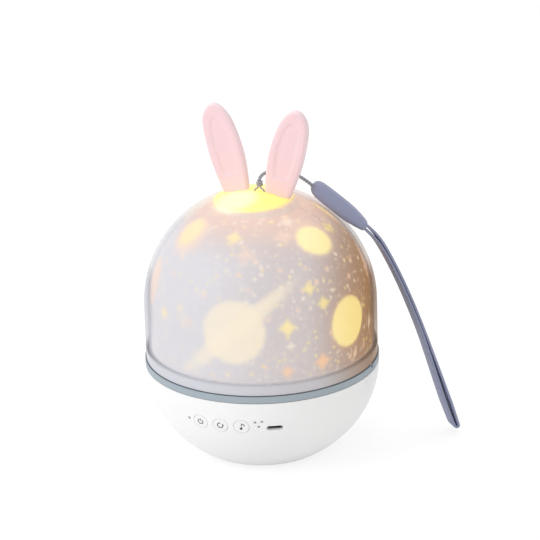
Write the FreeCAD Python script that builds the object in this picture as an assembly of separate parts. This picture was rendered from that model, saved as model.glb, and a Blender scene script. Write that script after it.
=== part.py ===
import FreeCAD, Part
import math
import os

# Star night light projector with rabbit ears. Millimetres, +Z up, the front faces -Y.
# The origin is the centre of the rubber foot, on the surface that the light stands on.

V = FreeCAD.Vector
UP = V(0, 0, 1)

# Bowl-shaped base
body_r = 62.5  # largest radius, at the rim of the bowl
bowl_depth = 56.8  # vertical half axis of the ellipse that the bowl's side follows
bowl_cut = 7.8  # how much of the ellipse's depth lies under the surface that the light stands on
bowl_wall = 2.2
floor_z = 1.2
floor_wall = 2.4
foot_inset = 2.76  # from the edge of the floor to the foot
foot_width = 5.0
foot_groove = 1.0

# Blue-grey ring between the bowl and the cover
ring_height = 4.2
ring_edge = 0.4
ring_lip = 1.5
spigot_height = 3.0
spigot_wall = 1.6
pry_notch_width = 3.0
pry_notch_depth = 0.9

# Milky cover
cover_step = 0.6  # how far the cover stands in from the ring's outer face
cover_wall = 1.6
cover_straight = 28.8
cover_fit = 0.2  # radial clearance of the cover on the spigot
lanyard_hole_r = 0.8
lanyard_hole_gap = 5.4
lanyard_hole_x = 1.4
lanyard_hole_y = -0.5

# Rabbit ears, each drawn in its own plane along a radius of the dome
ear_lean = 12.4  # degrees from vertical
ear_height = 48.4
ear_outer_half = 8.6
ear_inner_half = 10.7
ear_thickness = 4.8
ear_edge = 1.7
ear_recess = 0.6
ear_recess_share = 0.56  # width of the recess as a share of the ear
ear_recess_low = 0.2  # where the recess starts and ends, as shares of the ear's height
ear_recess_high = 0.86
ear_peg_r = 2.5
ear_barb_r = 3.6
ear_barb_height = 2.2
ear_root = 1.5  # how deep the peg is set into the ear

# Film dome that turns on the tray
film_clearance = 1.5  # radial gap between the film and the cover
film_thickness = 0.3
carrier_wall = 1.5
carrier_top_r = 20.0
film_top_r = 22.4
sheet_gap = 0.1
flap_angle = 10.0  # where the film's lap seam starts, from +X towards +Y
flap_span = 9.0
flap_height = 26.0
flap_slant = 3.0

# Tray, its hub and its ring gear
tray_wall = 1.6
tray_above_spigot = 0.6
tray_lip = 0.6
tray_lip_height = 2.0
tray_upstand_wall = 1.5
tray_upstand_height = 3.0
tray_rib_wall = 1.4
tray_rib_depth = 3.0
tray_rib_count = 6
hub_r = 12.0
hub_above_tray = 3.0
running_gap = 0.05
gear_module = 1.0
pinion_teeth = 12
pressure_angle = math.radians(20)
gear_addendum = 0.7
pinion_addendum = 1.0
gear_dedendum = 1.25
gear_backlash = 0.16
gear_depth = 5.5
gear_rim = 3.0
pinion_length = 5.0

# Deck and lamp
deck_wall = 2.0
deck_drop = 1.0  # deck top below the bowl's rim
deck_boss_r = 3.5
deck_boss_inset = 8.3  # from the deck's edge to the bosses' middles
deck_boss_angles = (50.0, 130.0, 220.0, 320.0)
post_r = 8.0
post_bore_r = 5.5
post_flange_r = 13.0
post_flange_wall = 2.0
post_screw_reach = 10.5
post_above_hub = 4.6
washer_wall = 0.6
washer_r = 11.0
clip_wall = 0.8
clip_r = 10.4
clip_groove = 1.0
clip_mouth_share = 0.8  # half width of the clip's mouth as a share of its inner radius
sink_r = 13.0
sink_core_r = 8.5
sink_height = 6.0
sink_fin_wall = 1.2
sink_fin_count = 12
lamp_board_r = 11.5
lamp_board_wall = 1.2
chip_side = 3.0
colour_chip_side = 1.8
chip_height = 1.2
chip_reach = 3.6
lens_r = 10.0
lens_foot = 2.0
lens_rise = 6.8
lens_cavity_r = 6.6
lens_cavity_height = 2.4

# Motor
motor_r = 12.0
motor_length = 14.0
motor_boss_r = 4.0
motor_ear_reach = 15.0
motor_ear_r = 3.2
motor_ear_wall = 1.2
motor_shaft_r = 1.0
motor_angle = 180.0
motor_room = 3.25  # from the motor's can to the bowl

# Controls on the front of the bowl
controls_drop = 14.0  # below the rim
button_r = 4.0
button_gap = 0.2
button_spacing = 11.45
button_travel = 0.5
button_flange_r = 4.8
button_flange = 1.2
button_flange_gap = 0.1
cutter_run = 10.0  # how far a cutter passes the bowl's outer face on both sides
light_x = -18.4
light_r = 0.7
tiny_hole_r = 0.75
tiny_hole_places = ((18.7, 2.5), (22.0, 2.5), (20.3, -0.5))  # across and up from the middle button
board_depth = 13.0  # from the middle button's face to the front of the main board
board_wall = 1.6
board_left = -25.5
board_right = 15.2
board_low = -13.5
board_high = 6.5
board_peg_r = 2.4
board_peg_places = ((-22.5, 3.5), (-22.5, -10.5), (5.7, -10.5))
switch_side = 6.0
switch_height = 2.8
switch_plunger_r = 1.6
switch_plunger_height = 0.9
led_block = 1.2

# Charging port
port_across = 27.8  # from the middle towards +X
port_drop = 14.6  # below the rim
port_width = 7.5
port_height = 2.6
port_wall = 0.35
port_length = 5.6
port_inset = 1.3
port_tongue = 0.7
port_hole_margin = 0.6
port_hole_rise = 0.1
port_board_half = 7.0
port_board_length = 17.0
port_board_gap = 0.9
shelf_wall = 1.6
shelf_length = 13.0

# Battery and speaker
battery_r = 9.25
battery_length = 65.0
battery_room = 1.8  # from the cell's lower corners to the bowl, measured out from the axis
battery_cap_r = 3.0
battery_cap = 0.8
saddle_reach = 20.0
saddle_wall = 3.0
saddle_grip = 3.0
saddle_base = 2.0
battery_slack = 0.1
cradle_gap = 1.25  # between the cradle and the ring that seats the speaker
speaker_room = 2.5  # from the speaker's front edge to the bowl
speaker_r = 18.0
speaker_rim = 2.5
speaker_flange = 1.2
speaker_basket = 0.8
speaker_height = 8.4
speaker_neck_r = 9.0
basket_window_half = 3.5
basket_window_rise = 1.5
magnet_r = 10.0
magnet_height = 6.0
speaker_slack = 0.3
speaker_ring_wall = 1.2
speaker_ring_height = 2.4
cone_wall = 0.4
cone_neck_r = 4.0
cone_room = 1.2
cap_rise = 1.6
grille_hole_r = 0.9
grille_pitch = 5.0
grille_rings = 2

# Screws
screw_r = 1.25
screw_head_r = 2.4
screw_head = 1.5
screw_gap = 0.1
screw_grip = 6.0
screw_end = 1.0  # what a pilot hole or a screw runs on past the piece that it holds

# Lanyard. It lies in an upright plane through the axis, turned this far from +X.
lanyard_angle = 26.0
cord_d = 2.0
loop_d = 0.9
knot_r = 1.7
knot_length = 2.7
knot_above_cover = 2.7
knot_round = 0.5
loop_shoulder = 0.5  # height of the loop's bend above the cover
loop_tie = 0.68  # half the distance between the loop's legs in the knot
cord_rise = 1.7  # how far the cord leaves the knot straight up
# The cord's middle points: towards +X, towards +Y and up, from the top of the knot.
cord_route = ((1.8, 3.9, 3.7), (6.8, 7.1, 4.4), (13.0, 8.5, 3.8))
cord_lead = 8.0  # how far the cord runs in line with the sleeve before it
sleeve_above_cover = 7.4
sleeve_angle = 24.83  # where the sleeve starts round the dome, in degrees from its top
sleeve_slope = -42.0
sleeve_length = 36.0
sleeve_width = 12.0
sleeve_thickness = 8.0
sleeve_round = 3.0
sleeve_mouth_round = 0.8
strap_width = 9.5
strap_layer = 1.4
strap_mouth_half = 2.3
strap_mouth_run = 6.0  # how far the band leaves the sleeve in a straight line
# The folded strap's middle line after that, from the mouth: out, down, and half the distance
# between its layers. The last point is the tip, and the line is stretched to reach the surface.
strap_route = (
    (9.95, 13.5, 2.0),
    (18.75, 32.7, 1.5),
    (27.75, 56.8, 1.3),
    (35.15, 78.2, 1.5),
    (42.65, 102.7, 2.4),
    (47.35, 116.2, 3.3),
)
strap_reach = 40.7  # how far the tip lies outside the ring
strap_tip_rise = 4.6

# Heights and radii that follow from the sizes above
rim_z = bowl_depth - bowl_cut
ring_low = rim_z
ring_top = rim_z + ring_height
cover_r = body_r - cover_step
cover_low = ring_top
dome_z = cover_low + cover_straight
cover_in_r = cover_r - cover_wall
spigot_r = cover_in_r - cover_fit
spigot_top = ring_top + spigot_height
spigot_in_r = spigot_r - spigot_wall
deck_top = rim_z - deck_drop
deck_low = deck_top - deck_wall
inner_floor = floor_z + floor_wall
film_r = cover_in_r - film_clearance
film_in_r = film_r - film_thickness
carrier_r = film_in_r - sheet_gap
carrier_in_r = carrier_r - carrier_wall
flap_r = film_r + film_thickness
tray_low = spigot_top + tray_above_spigot
tray_top = tray_low + tray_wall
tray_lip_in_r = flap_r + sheet_gap
tray_r = tray_lip_in_r + tray_lip
gear_low = tray_low - gear_depth
hub_low = deck_top + washer_wall
hub_top = tray_top + hub_above_tray
clip_z = hub_top + running_gap
post_top = hub_top + post_above_hub
lamp_board_z = post_top + sink_height
chip_z = lamp_board_z + lamp_board_wall


def bowl_r_at(z, shrink=0.0):
    """The bowl's radius at a height, drawn in by a wall."""
    return (body_r - shrink) * math.sqrt(1 - ((z - rim_z) / (bowl_depth - shrink)) ** 2)


def bowl_z_at(r, shrink=0.0):
    """The height at which the bowl, drawn in by a wall, has a radius."""
    return rim_z - (bowl_depth - shrink) * math.sqrt(1 - (r / (body_r - shrink)) ** 2)


def bowl(shrink, low, high):
    """Solid of the bowl's form, drawn in from the outside by a wall."""
    half_r = body_r - shrink
    half_z = bowl_depth - shrink
    centre = V(0, 0, rim_z)
    turn_low = math.asin((low - rim_z) / half_z)
    turn_high = math.asin((high - rim_z) / half_z)
    if half_r > half_z:
        ellipse = Part.Ellipse(V(half_r, 0, rim_z), V(0, 0, rim_z + half_z), centre)
        side = Part.ArcOfEllipse(ellipse, turn_low, turn_high).toShape()
    else:
        ellipse = Part.Ellipse(V(0, 0, rim_z - half_z), V(half_r, 0, rim_z), centre)
        side = Part.ArcOfEllipse(ellipse, turn_low + math.pi / 2, turn_high + math.pi / 2).toShape()
    edges = [
        Part.makeLine(V(0, 0, low), V(bowl_r_at(low, shrink), 0, low)),
        side,
        Part.makeLine(V(bowl_r_at(high, shrink), 0, high), V(0, 0, high)),
        Part.makeLine(V(0, 0, high), V(0, 0, low)),
    ]
    return Part.Face(Part.Wire(edges)).revolve(V(0, 0, 0), UP, 360)


def dome(radius, low):
    """Solid of the cover's form: a straight wall from low, then half a sphere."""
    high = math.sqrt(0.5) * radius
    edges = [
        Part.makeLine(V(0, 0, low), V(radius, 0, low)),
        Part.makeLine(V(radius, 0, low), V(radius, 0, dome_z)),
        Part.Arc(V(radius, 0, dome_z), V(high, 0, dome_z + high), V(0, 0, dome_z + radius)).toShape(),
        Part.makeLine(V(0, 0, dome_z + radius), V(0, 0, low)),
    ]
    return Part.Face(Part.Wire(edges)).revolve(V(0, 0, 0), UP, 360)


def spun(points):
    """Solid of revolution about the axis from a closed outline of (radius, height)."""
    corners = [V(r, 0, z) for r, z in points]
    return Part.Face(Part.makePolygon(corners + corners[:1])).revolve(V(0, 0, 0), UP, 360)


def rod(radius, low, high, x=0.0, y=0.0):
    """Upright cylinder between two heights."""
    return Part.makeCylinder(radius, high - low, V(x, y, low))


def ring(outer, inner, low, high, x=0.0, y=0.0):
    """Upright tube between two heights."""
    return rod(outer, low, high, x, y).cut(rod(inner, low, high, x, y))


def block(x0, x1, y0, y1, z0, z1):
    """Box between two corners."""
    return Part.makeBox(x1 - x0, y1 - y0, z1 - z0, V(x0, y0, z0))


def around(reach, degrees):
    """Point at a distance from the axis, turned from +X towards +Y."""
    turn = math.radians(degrees)
    return reach * math.cos(turn), reach * math.sin(turn)


def wall_frame(z, degrees):
    """Placement on the bowl's outer face: x runs across, y up the wall and z straight out of it."""
    reach = bowl_r_at(z)
    tilt = math.atan2((rim_z - z) / bowl_depth**2, reach / body_r**2)
    upright = FreeCAD.Placement(V(0, 0, 0), FreeCAD.Rotation(V(1, 0, 0), 90 + math.degrees(tilt)))
    out = FreeCAD.Placement(V(0, -reach, z), FreeCAD.Rotation())
    turned = FreeCAD.Placement(V(0, 0, 0), FreeCAD.Rotation(UP, degrees))
    return turned.multiply(out).multiply(upright)


def placed(shape, frame):
    """The shape moved into a frame."""
    moved = shape.copy()
    moved.Placement = frame.multiply(shape.Placement)
    return moved


def joined(shapes):
    """Fuse of overlapping solids, without the seams between them."""
    first, *rest = shapes
    return first.fuse(rest).removeSplitter() if rest else first


def group(shapes):
    """Separate solids that share one node."""
    return Part.makeCompound(shapes)


def screw(x, y, face, grip, down=True):
    """Pan-head screw whose head rests on a face, pointing down or up."""
    if down:
        shapes = [rod(screw_head_r, face, face + screw_head, x, y), rod(screw_r, face - grip, face, x, y)]
    else:
        shapes = [rod(screw_head_r, face - screw_head, face, x, y), rod(screw_r, face, face + grip, x, y)]
    return joined(shapes)


foot_r = bowl_r_at(floor_z) - foot_inset
controls_z = rim_z - controls_drop
control_frame = wall_frame(controls_z, 0)
port_z = rim_z - port_drop
port_angle = math.degrees(math.asin(port_across / bowl_r_at(port_z)))
port_frame = wall_frame(port_z, port_angle)
deck_r = spigot_in_r - cover_fit
deck_boss_places = [around(deck_r - deck_boss_inset, a) for a in deck_boss_angles]
pinion_pitch_r = gear_module * pinion_teeth / 2
motor_most_reach = bowl_r_at(deck_low - motor_length, bowl_wall) - motor_room - motor_r
gear_teeth = math.floor(2 * (motor_most_reach - pinion_pitch_r) / gear_module)
gear_pitch_r = gear_module * gear_teeth / 2
motor_x, motor_y = around(gear_pitch_r + pinion_pitch_r, motor_angle)
post_screw_places = [around(post_screw_reach, a) for a in (90, 210, 330)]
motor_ear_places = [(motor_x, motor_y + side * motor_ear_reach) for side in (-1, 1)]
button_places = [(-button_spacing, "power"), (0.0, "rotate"), (button_spacing, "music")]
socket_bottom = -port_height / 2
port_board_low = socket_bottom - board_wall
speaker_y = speaker_r + speaker_room - bowl_r_at(inner_floor, bowl_wall)
speaker_seat_r = speaker_r + speaker_slack
cradle_half = battery_r + saddle_grip
battery_y = speaker_y + speaker_seat_r + speaker_ring_wall + cradle_gap + cradle_half


def battery_rest(degrees):
    """The lowest that the cell's axis can lie for one point of its end's lower edge to clear the bowl."""
    turn = math.radians(degrees)
    reach = math.hypot(battery_length / 2, battery_y + battery_r * math.sin(turn)) + battery_room
    return bowl_z_at(reach, bowl_wall) + battery_r * math.cos(turn)


battery_z = max(battery_rest(degrees) for degrees in range(0, 91, 5))


# Base


def base_shell():
    """White bowl with the control holes, screw bosses, speaker grille and foot groove."""
    outside = bowl(0, floor_z, rim_z)
    inside = bowl(bowl_wall, inner_floor, rim_z)
    bosses = [rod(deck_boss_r, inner_floor, deck_low, x, y) for x, y in deck_boss_places]
    pegs = [
        placed(Part.makeCylinder(board_peg_r, board_depth, V(x, y, -board_depth)), control_frame)
        for x, y in board_peg_places
    ]
    shelf_top = port_board_low
    shelf = block(-port_board_half, port_board_half, shelf_top - shelf_wall, shelf_top, -shelf_length, 0)
    seat_top = inner_floor + speaker_ring_height
    seat = ring(speaker_seat_r + speaker_ring_wall, speaker_seat_r, floor_z, seat_top, 0, speaker_y)
    inner = [part.common(outside) for part in bosses + pegs + [placed(shelf, port_frame), seat]]
    shell = outside.cut(inside).fuse(inner)

    cuts = [ring(foot_r, foot_r - foot_width, floor_z, floor_z + foot_groove)]
    through = [(x, 0, button_r + button_gap) for x, _ in button_places]
    through += [(light_x, 0, light_r + button_gap / 2)]
    through += [(x, y, tiny_hole_r) for x, y in tiny_hole_places]
    for x, y, radius in through:
        cuts.append(placed(Part.makeCylinder(radius, 2 * cutter_run, V(x, y, -cutter_run)), control_frame))
    half = port_width / 2 + port_hole_margin
    rise = port_height / 2 + port_hole_rise
    slot = block(-half + rise, half - rise, -rise, rise, -cutter_run, cutter_run)
    ends = [
        Part.makeCylinder(rise, 2 * cutter_run, V(side * (half - rise), 0, -cutter_run)) for side in (-1, 1)
    ]
    cuts.append(placed(joined([slot] + ends), port_frame))
    for x, y in deck_boss_places:
        cuts.append(rod(screw_r + screw_gap / 2, deck_low - screw_grip - screw_end, deck_low, x, y))
    for x, y in board_peg_places:
        pilot = Part.makeCylinder(screw_r + screw_gap / 2, screw_grip, V(x, y, -board_depth))
        cuts.append(placed(pilot, control_frame))
    for turn in range(grille_rings + 1):
        count = 6 * turn if turn else 1
        for step in range(count):
            x, y = around(turn * grille_pitch, 360 * step / count)
            cuts.append(rod(grille_hole_r, floor_z, inner_floor, x, speaker_y + y))
    return shell.cut(cuts).removeSplitter()


def foot_ring():
    """Rubber ring set in the groove under the floor."""
    return ring(foot_r, foot_r - foot_width, 0, floor_z + foot_groove)


def trim_ring():
    """Ring on the bowl's rim, with a lip down inside the bowl and a spigot up inside the cover."""
    lip_r = body_r - bowl_wall - cover_fit
    body = spun(
        (
            (spigot_in_r, ring_low - ring_lip),
            (lip_r, ring_low - ring_lip),
            (lip_r, ring_low),
            (body_r - ring_edge, ring_low),
            (body_r, ring_low + ring_edge),
            (body_r, ring_top - ring_edge),
            (body_r - ring_edge, ring_top),
            (spigot_r, ring_top),
            (spigot_r, spigot_top),
            (spigot_in_r, spigot_top),
        )
    )
    half = pry_notch_width / 2
    notch = block(body_r - pry_notch_depth, body_r, -half, half, ring_low + ring_height / 2, ring_top)
    return body.cut(notch)


def deck_plate():
    """Plate that carries the lamp post and the motor."""
    plate = rod(deck_r, deck_low, deck_top)
    cuts = [rod(post_r + running_gap, deck_low, deck_top)]
    cuts.append(rod(motor_boss_r + running_gap, deck_low, deck_top, motor_x, motor_y))
    for x, y in deck_boss_places + post_screw_places + motor_ear_places:
        cuts.append(rod(screw_r + screw_gap / 2, deck_low, deck_top, x, y))
    return plate.cut(cuts)


def lamp_post():
    """Hollow post that the tray turns on, with a flange under the deck and a groove for the clip."""
    groove_r = post_r - clip_groove
    post = spun(
        (
            (post_bore_r, deck_low - post_flange_wall),
            (post_flange_r, deck_low - post_flange_wall),
            (post_flange_r, deck_low),
            (post_r, deck_low),
            (post_r, clip_z),
            (groove_r, clip_z),
            (groove_r, clip_z + clip_wall),
            (post_r, clip_z + clip_wall),
            (post_r, post_top),
            (post_bore_r, post_top),
        )
    )
    low = deck_low - post_flange_wall
    holes = [rod(screw_r + screw_gap / 2, low, deck_low, x, y) for x, y in post_screw_places]
    return post.cut(holes)


def thrust_washer():
    """Slippery washer between the deck and the tray's hub."""
    return ring(washer_r, post_r + running_gap, deck_top, hub_low)


def hub_clip():
    """Spring clip in the post's groove that keeps the hub down."""
    inner = post_r - clip_groove + running_gap
    clip = ring(clip_r, inner, clip_z, clip_z + clip_wall)
    mouth = inner * clip_mouth_share
    return clip.cut(block(0, clip_r, -mouth, mouth, clip_z, clip_z + clip_wall))


def heat_sink():
    """Aluminium heat sink with radial fins, on top of the post."""
    core = rod(sink_core_r, post_top, lamp_board_z)
    fins = []
    for step in range(sink_fin_count):
        half = sink_fin_wall / 2
        fin = block(sink_core_r - half, sink_r, -half, half, post_top, lamp_board_z)
        fin.rotate(V(0, 0, 0), UP, 360 * step / sink_fin_count)
        fins.append(fin)
    return joined([core] + fins).cut(rod(post_bore_r / 2, post_top, lamp_board_z))


def lamp_board():
    """Round board of the lamp."""
    return rod(lamp_board_r, lamp_board_z, chip_z)


def lamp_chips():
    """One warm chip in the middle and four coloured ones round it."""
    chips = []
    for side, places in (
        (chip_side / 2, [(0.0, 0.0)]),
        (colour_chip_side / 2, [around(chip_reach, a) for a in (45, 135, 225, 315)]),
    ):
        for x, y in places:
            chips.append(block(x - side, x + side, y - side, y + side, chip_z, chip_z + chip_height))
    return group(chips)


def lamp_lens():
    """Clear lens over the chips: a foot ring and a domed top."""
    crown_z = chip_z + lens_foot
    crown_r = (lens_r**2 + lens_rise**2) / (2 * lens_rise)
    crown = Part.makeSphere(crown_r, V(0, 0, crown_z + lens_rise - crown_r))
    crown = crown.common(rod(lens_r, crown_z, crown_z + lens_rise))
    lens = joined([rod(lens_r, chip_z, crown_z), crown])
    return lens.cut(rod(lens_cavity_r, chip_z, chip_z + lens_cavity_height))


def motor():
    """Geared motor under the deck, with two ears and a boss through the deck."""
    low = deck_low - motor_length
    can = rod(motor_r, low, deck_low, motor_x, motor_y)
    boss = rod(motor_boss_r, deck_low, deck_top, motor_x, motor_y)
    ears = [rod(motor_ear_r, deck_low - motor_ear_wall, deck_low, x, y) for x, y in motor_ear_places]
    web = block(
        motor_x - motor_ear_r,
        motor_x + motor_ear_r,
        motor_y - motor_ear_reach,
        motor_y + motor_ear_reach,
        deck_low - motor_ear_wall,
        deck_low,
    )
    body = joined([can, boss, web] + ears)
    holes = [
        rod(screw_r + screw_gap / 2, deck_low - motor_ear_wall, deck_low, x, y) for x, y in motor_ear_places
    ]
    shaft_hole = rod(motor_shaft_r + running_gap, low + motor_length / 2, deck_top, motor_x, motor_y)
    return body.cut(holes + [shaft_hole])


def main_board():
    """Circuit board behind the buttons, square to the way they are pressed."""
    back = -board_depth - board_wall
    board = block(board_left, board_right, board_low, board_high, back, -board_depth)
    hole_r = screw_r + screw_gap / 2
    holes = [Part.makeCylinder(hole_r, board_wall, V(x, y, back)) for x, y in board_peg_places]
    return placed(board.cut(holes), control_frame)


def tact_switches():
    """Three small push switches, one behind each button."""
    switches = []
    half = switch_side / 2
    for x, _ in button_places:
        body = block(x - half, x + half, -half, half, -board_depth, -board_depth + switch_height)
        plunger_z = -board_depth + switch_height
        plunger = Part.makeCylinder(switch_plunger_r, switch_plunger_height, V(x, 0, plunger_z))
        switches.append(placed(joined([body, plunger]), control_frame))
    return group(switches)


def indicator_light():
    """Light pipe from a chip on the main board to the dot left of the buttons."""
    side = led_block
    chip = block(light_x - side, light_x + side, -side, side, -board_depth, -board_depth + side)
    pipe = Part.makeCylinder(light_r, board_depth, V(light_x, 0, -board_depth + led_block / 2))
    return placed(joined([chip, pipe]), control_frame).common(bowl(0, floor_z, rim_z))


def charge_board():
    """Small board on the shelf behind the charging port."""
    start = bowl_wall + port_board_gap
    board = block(
        -port_board_half,
        port_board_half,
        port_board_low,
        socket_bottom,
        -start - port_board_length,
        -start,
    )
    return placed(board, port_frame)


def usb_socket():
    """Micro-USB socket: a metal shell with rounded ends and a tongue."""
    def tube(half_width, half_height, front, back):
        flat = half_width - half_height
        core = block(-flat, flat, -half_height, half_height, back, front)
        ends = [Part.makeCylinder(half_height, front - back, V(side * flat, 0, back)) for side in (-1, 1)]
        return joined([core] + ends)

    front = -port_inset
    back = front - port_length
    shell = tube(port_width / 2, port_height / 2, front, back)
    mouth = tube(port_width / 2 - port_wall, port_height / 2 - port_wall, front, back + port_wall)
    tongue_half = port_width / 4
    tongue = block(-tongue_half, tongue_half, 0, port_tongue, back, front - port_wall)
    return placed(joined([shell.cut(mouth), tongue]), port_frame)


def battery():
    """Round lithium cell lying across the back of the bowl."""
    half = battery_length / 2
    across = V(1, 0, 0)
    cell = Part.makeCylinder(battery_r, battery_length - battery_cap, V(-half, battery_y, battery_z), across)
    cap_x = half - battery_cap
    cap = Part.makeCylinder(battery_cap_r, battery_cap, V(cap_x, battery_y, battery_z), across)
    return joined([cell, cap])


def battery_cradle():
    """Two saddles on a strip, moulded to the inside of the bowl."""
    span = saddle_reach + saddle_wall / 2
    front = battery_y - cradle_half
    back = battery_y + cradle_half
    strip = block(-span, span, front, back, inner_floor, inner_floor + saddle_base)
    saddles = [
        block(
            side * saddle_reach - saddle_wall / 2,
            side * saddle_reach + saddle_wall / 2,
            front,
            back,
            inner_floor,
            battery_z,
        )
        for side in (-1, 1)
    ]
    bed_r = battery_r + battery_slack
    bed = Part.makeCylinder(bed_r, 2 * span, V(-span, battery_y, battery_z), V(1, 0, 0))
    inside = bowl(bowl_wall + speaker_slack, inner_floor, rim_z)
    return joined([strip] + saddles).common(inside).cut(bed)


def speaker_frame():
    """Pressed basket of the speaker, with four windows."""
    top = inner_floor + speaker_height
    wall = speaker_basket
    frame = spun(
        (
            (speaker_r - speaker_rim, inner_floor),
            (speaker_r, inner_floor),
            (speaker_r, inner_floor + speaker_flange),
            (speaker_neck_r + wall, top),
            (cone_neck_r + cone_wall, top),
            (cone_neck_r + cone_wall, top - wall),
            (speaker_neck_r, top - wall),
            (speaker_r - speaker_rim, inner_floor + speaker_flange),
        )
    )
    low = inner_floor + speaker_flange + basket_window_rise
    half = basket_window_half
    windows = []
    for turn in (45, 135, 225, 315):
        window = block(speaker_neck_r + wall, speaker_r, -half, half, low, top - wall)
        window.rotate(V(0, 0, 0), UP, turn)
        windows.append(window)
    frame = frame.cut(windows)
    frame.translate(V(0, speaker_y, 0))
    return frame


def speaker_cone():
    """Paper cone with its dust cap, hung inside the basket's rim."""
    edge = speaker_r - speaker_rim - sheet_gap
    base = inner_floor + speaker_flange / 2
    neck = inner_floor + speaker_height - speaker_basket - cone_room
    cone = spun(
        (
            (edge, base),
            (edge, base + cone_wall),
            (cone_neck_r, neck),
            (0, neck),
            (0, neck - cap_rise),
            (cone_neck_r, neck - cone_wall),
        )
    )
    cone.translate(V(0, speaker_y, 0))
    return cone


def speaker_magnet():
    """Magnet behind the basket."""
    low = inner_floor + speaker_height
    return rod(magnet_r, low, low + magnet_height, 0, speaker_y)


def deck_screws():
    """Screws that hold the deck to the bowl's bosses."""
    return group([screw(x, y, deck_top, screw_grip) for x, y in deck_boss_places])


def post_screws():
    """Screws that hold the post's flange to the deck, from below."""
    low = deck_low - post_flange_wall
    grip = post_flange_wall + deck_wall - screw_gap
    return group([screw(x, y, low, grip, False) for x, y in post_screw_places])


def motor_screws():
    """Screws that hang the motor from the deck."""
    return group([screw(x, y, deck_top, deck_wall + motor_ear_wall + screw_end) for x, y in motor_ear_places])


def board_screws():
    """Screws that hold the main board to its pegs."""
    back = -board_depth - board_wall
    screws = []
    for x, y in board_peg_places:
        head = Part.makeCylinder(screw_head_r, screw_head, V(x, y, back - screw_head))
        shank = Part.makeCylinder(screw_r, board_wall + screw_grip - screw_end, V(x, y, back))
        screws.append(placed(joined([head, shank]), control_frame))
    return group(screws)


# Cover and ears


def ear_frame(side):
    """Placement at the dome's centre whose z runs along the ear and x towards the ear's outer edge."""
    turned = FreeCAD.Placement(V(0, 0, dome_z), FreeCAD.Rotation(V(0, 1, 0), ear_lean))
    if side > 0:
        return turned
    return FreeCAD.Placement(V(0, 0, 0), FreeCAD.Rotation(UP, 180)).multiply(turned)


def ear_outline(scale, low, high):
    """Closed outline of an ear in its own plane, narrowed and cut to a range of heights."""
    span = high - low
    outer = ear_outer_half * scale
    inner = ear_inner_half * scale
    side = [
        V(outer * 0.6, 0, low),
        V(outer * 0.97, 0, low + span * 0.4),
        V(outer, 0, low + span * 0.68),
        V(outer * 0.6, 0, low + span * 0.94),
        V(0, 0, high),
        V(-inner * 0.5, 0, low + span * 0.92),
        V(-inner * 0.88, 0, low + span * 0.69),
        V(-inner, 0, low + span * 0.44),
        V(-inner * 0.8, 0, low),
    ]
    curve = Part.BSplineCurve()
    curve.interpolate(side)
    return Part.Wire([curve.toShape(), Part.makeLine(side[-1], side[0])])


def ear(side):
    """Soft ear with a shallow front recess, standing on the dome on a barbed peg."""
    high = cover_r + ear_height
    low = cover_in_r
    slab = Part.Face(ear_outline(1.0, low, high)).extrude(V(0, ear_thickness, 0))
    slab.translate(V(0, -ear_thickness / 2, 0))
    long_edges = [e for e in slab.Edges if e.Length > ear_height and e.BoundBox.YLength < 0.01]
    slab = slab.makeFillet(ear_edge, long_edges)
    recess_low = cover_r + ear_height * ear_recess_low
    recess_high = cover_r + ear_height * ear_recess_high
    recess = Part.Face(ear_outline(ear_recess_share, recess_low, recess_high)).extrude(V(0, ear_recess, 0))
    shift = (ear_outer_half - ear_inner_half) / 2 * (1 - ear_recess_share)
    front = -ear_thickness / 2 if side > 0 else ear_thickness / 2 - ear_recess
    recess.translate(V(shift, front, 0))
    seat = Part.makeSphere(cover_r)
    peg_length = ear_barb_height + cover_wall + ear_root
    peg = Part.makeCylinder(ear_peg_r, peg_length, V(0, 0, cover_in_r - ear_barb_height))
    barb = Part.makeCylinder(ear_barb_r, ear_barb_height, V(0, 0, cover_in_r - ear_barb_height))
    barb = barb.common(Part.makeSphere(cover_in_r))
    whole = joined([slab.cut(recess).cut(seat), peg, barb])
    return placed(whole, ear_frame(side))


def outer_cover():
    """Milky dome with a straight skirt, the ears' holes and the lanyard's two holes."""
    shell = dome(cover_r, cover_low).cut(dome(cover_in_r, cover_low))
    skirt = max(
        (e for e in shell.Edges if abs(e.BoundBox.ZMax - cover_low) < 0.01), key=lambda e: e.BoundBox.XMax
    )
    shell = shell.makeFillet(ring_edge, [skirt])
    cuts = []
    for side in (-1, 1):
        hole = Part.makeCylinder(ear_peg_r + running_gap, cover_wall * 3, V(0, 0, cover_in_r - cover_wall))
        cuts.append(placed(hole, ear_frame(side)))
    for side in (-1, 1):
        x = lanyard_hole_x + side * lanyard_hole_gap / 2
        low = dome_z + cover_in_r - cover_wall
        cuts.append(rod(lanyard_hole_r, low, dome_z + cover_r, x, lanyard_hole_y))
    return shell.cut(cuts)


# Turning film dome


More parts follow.
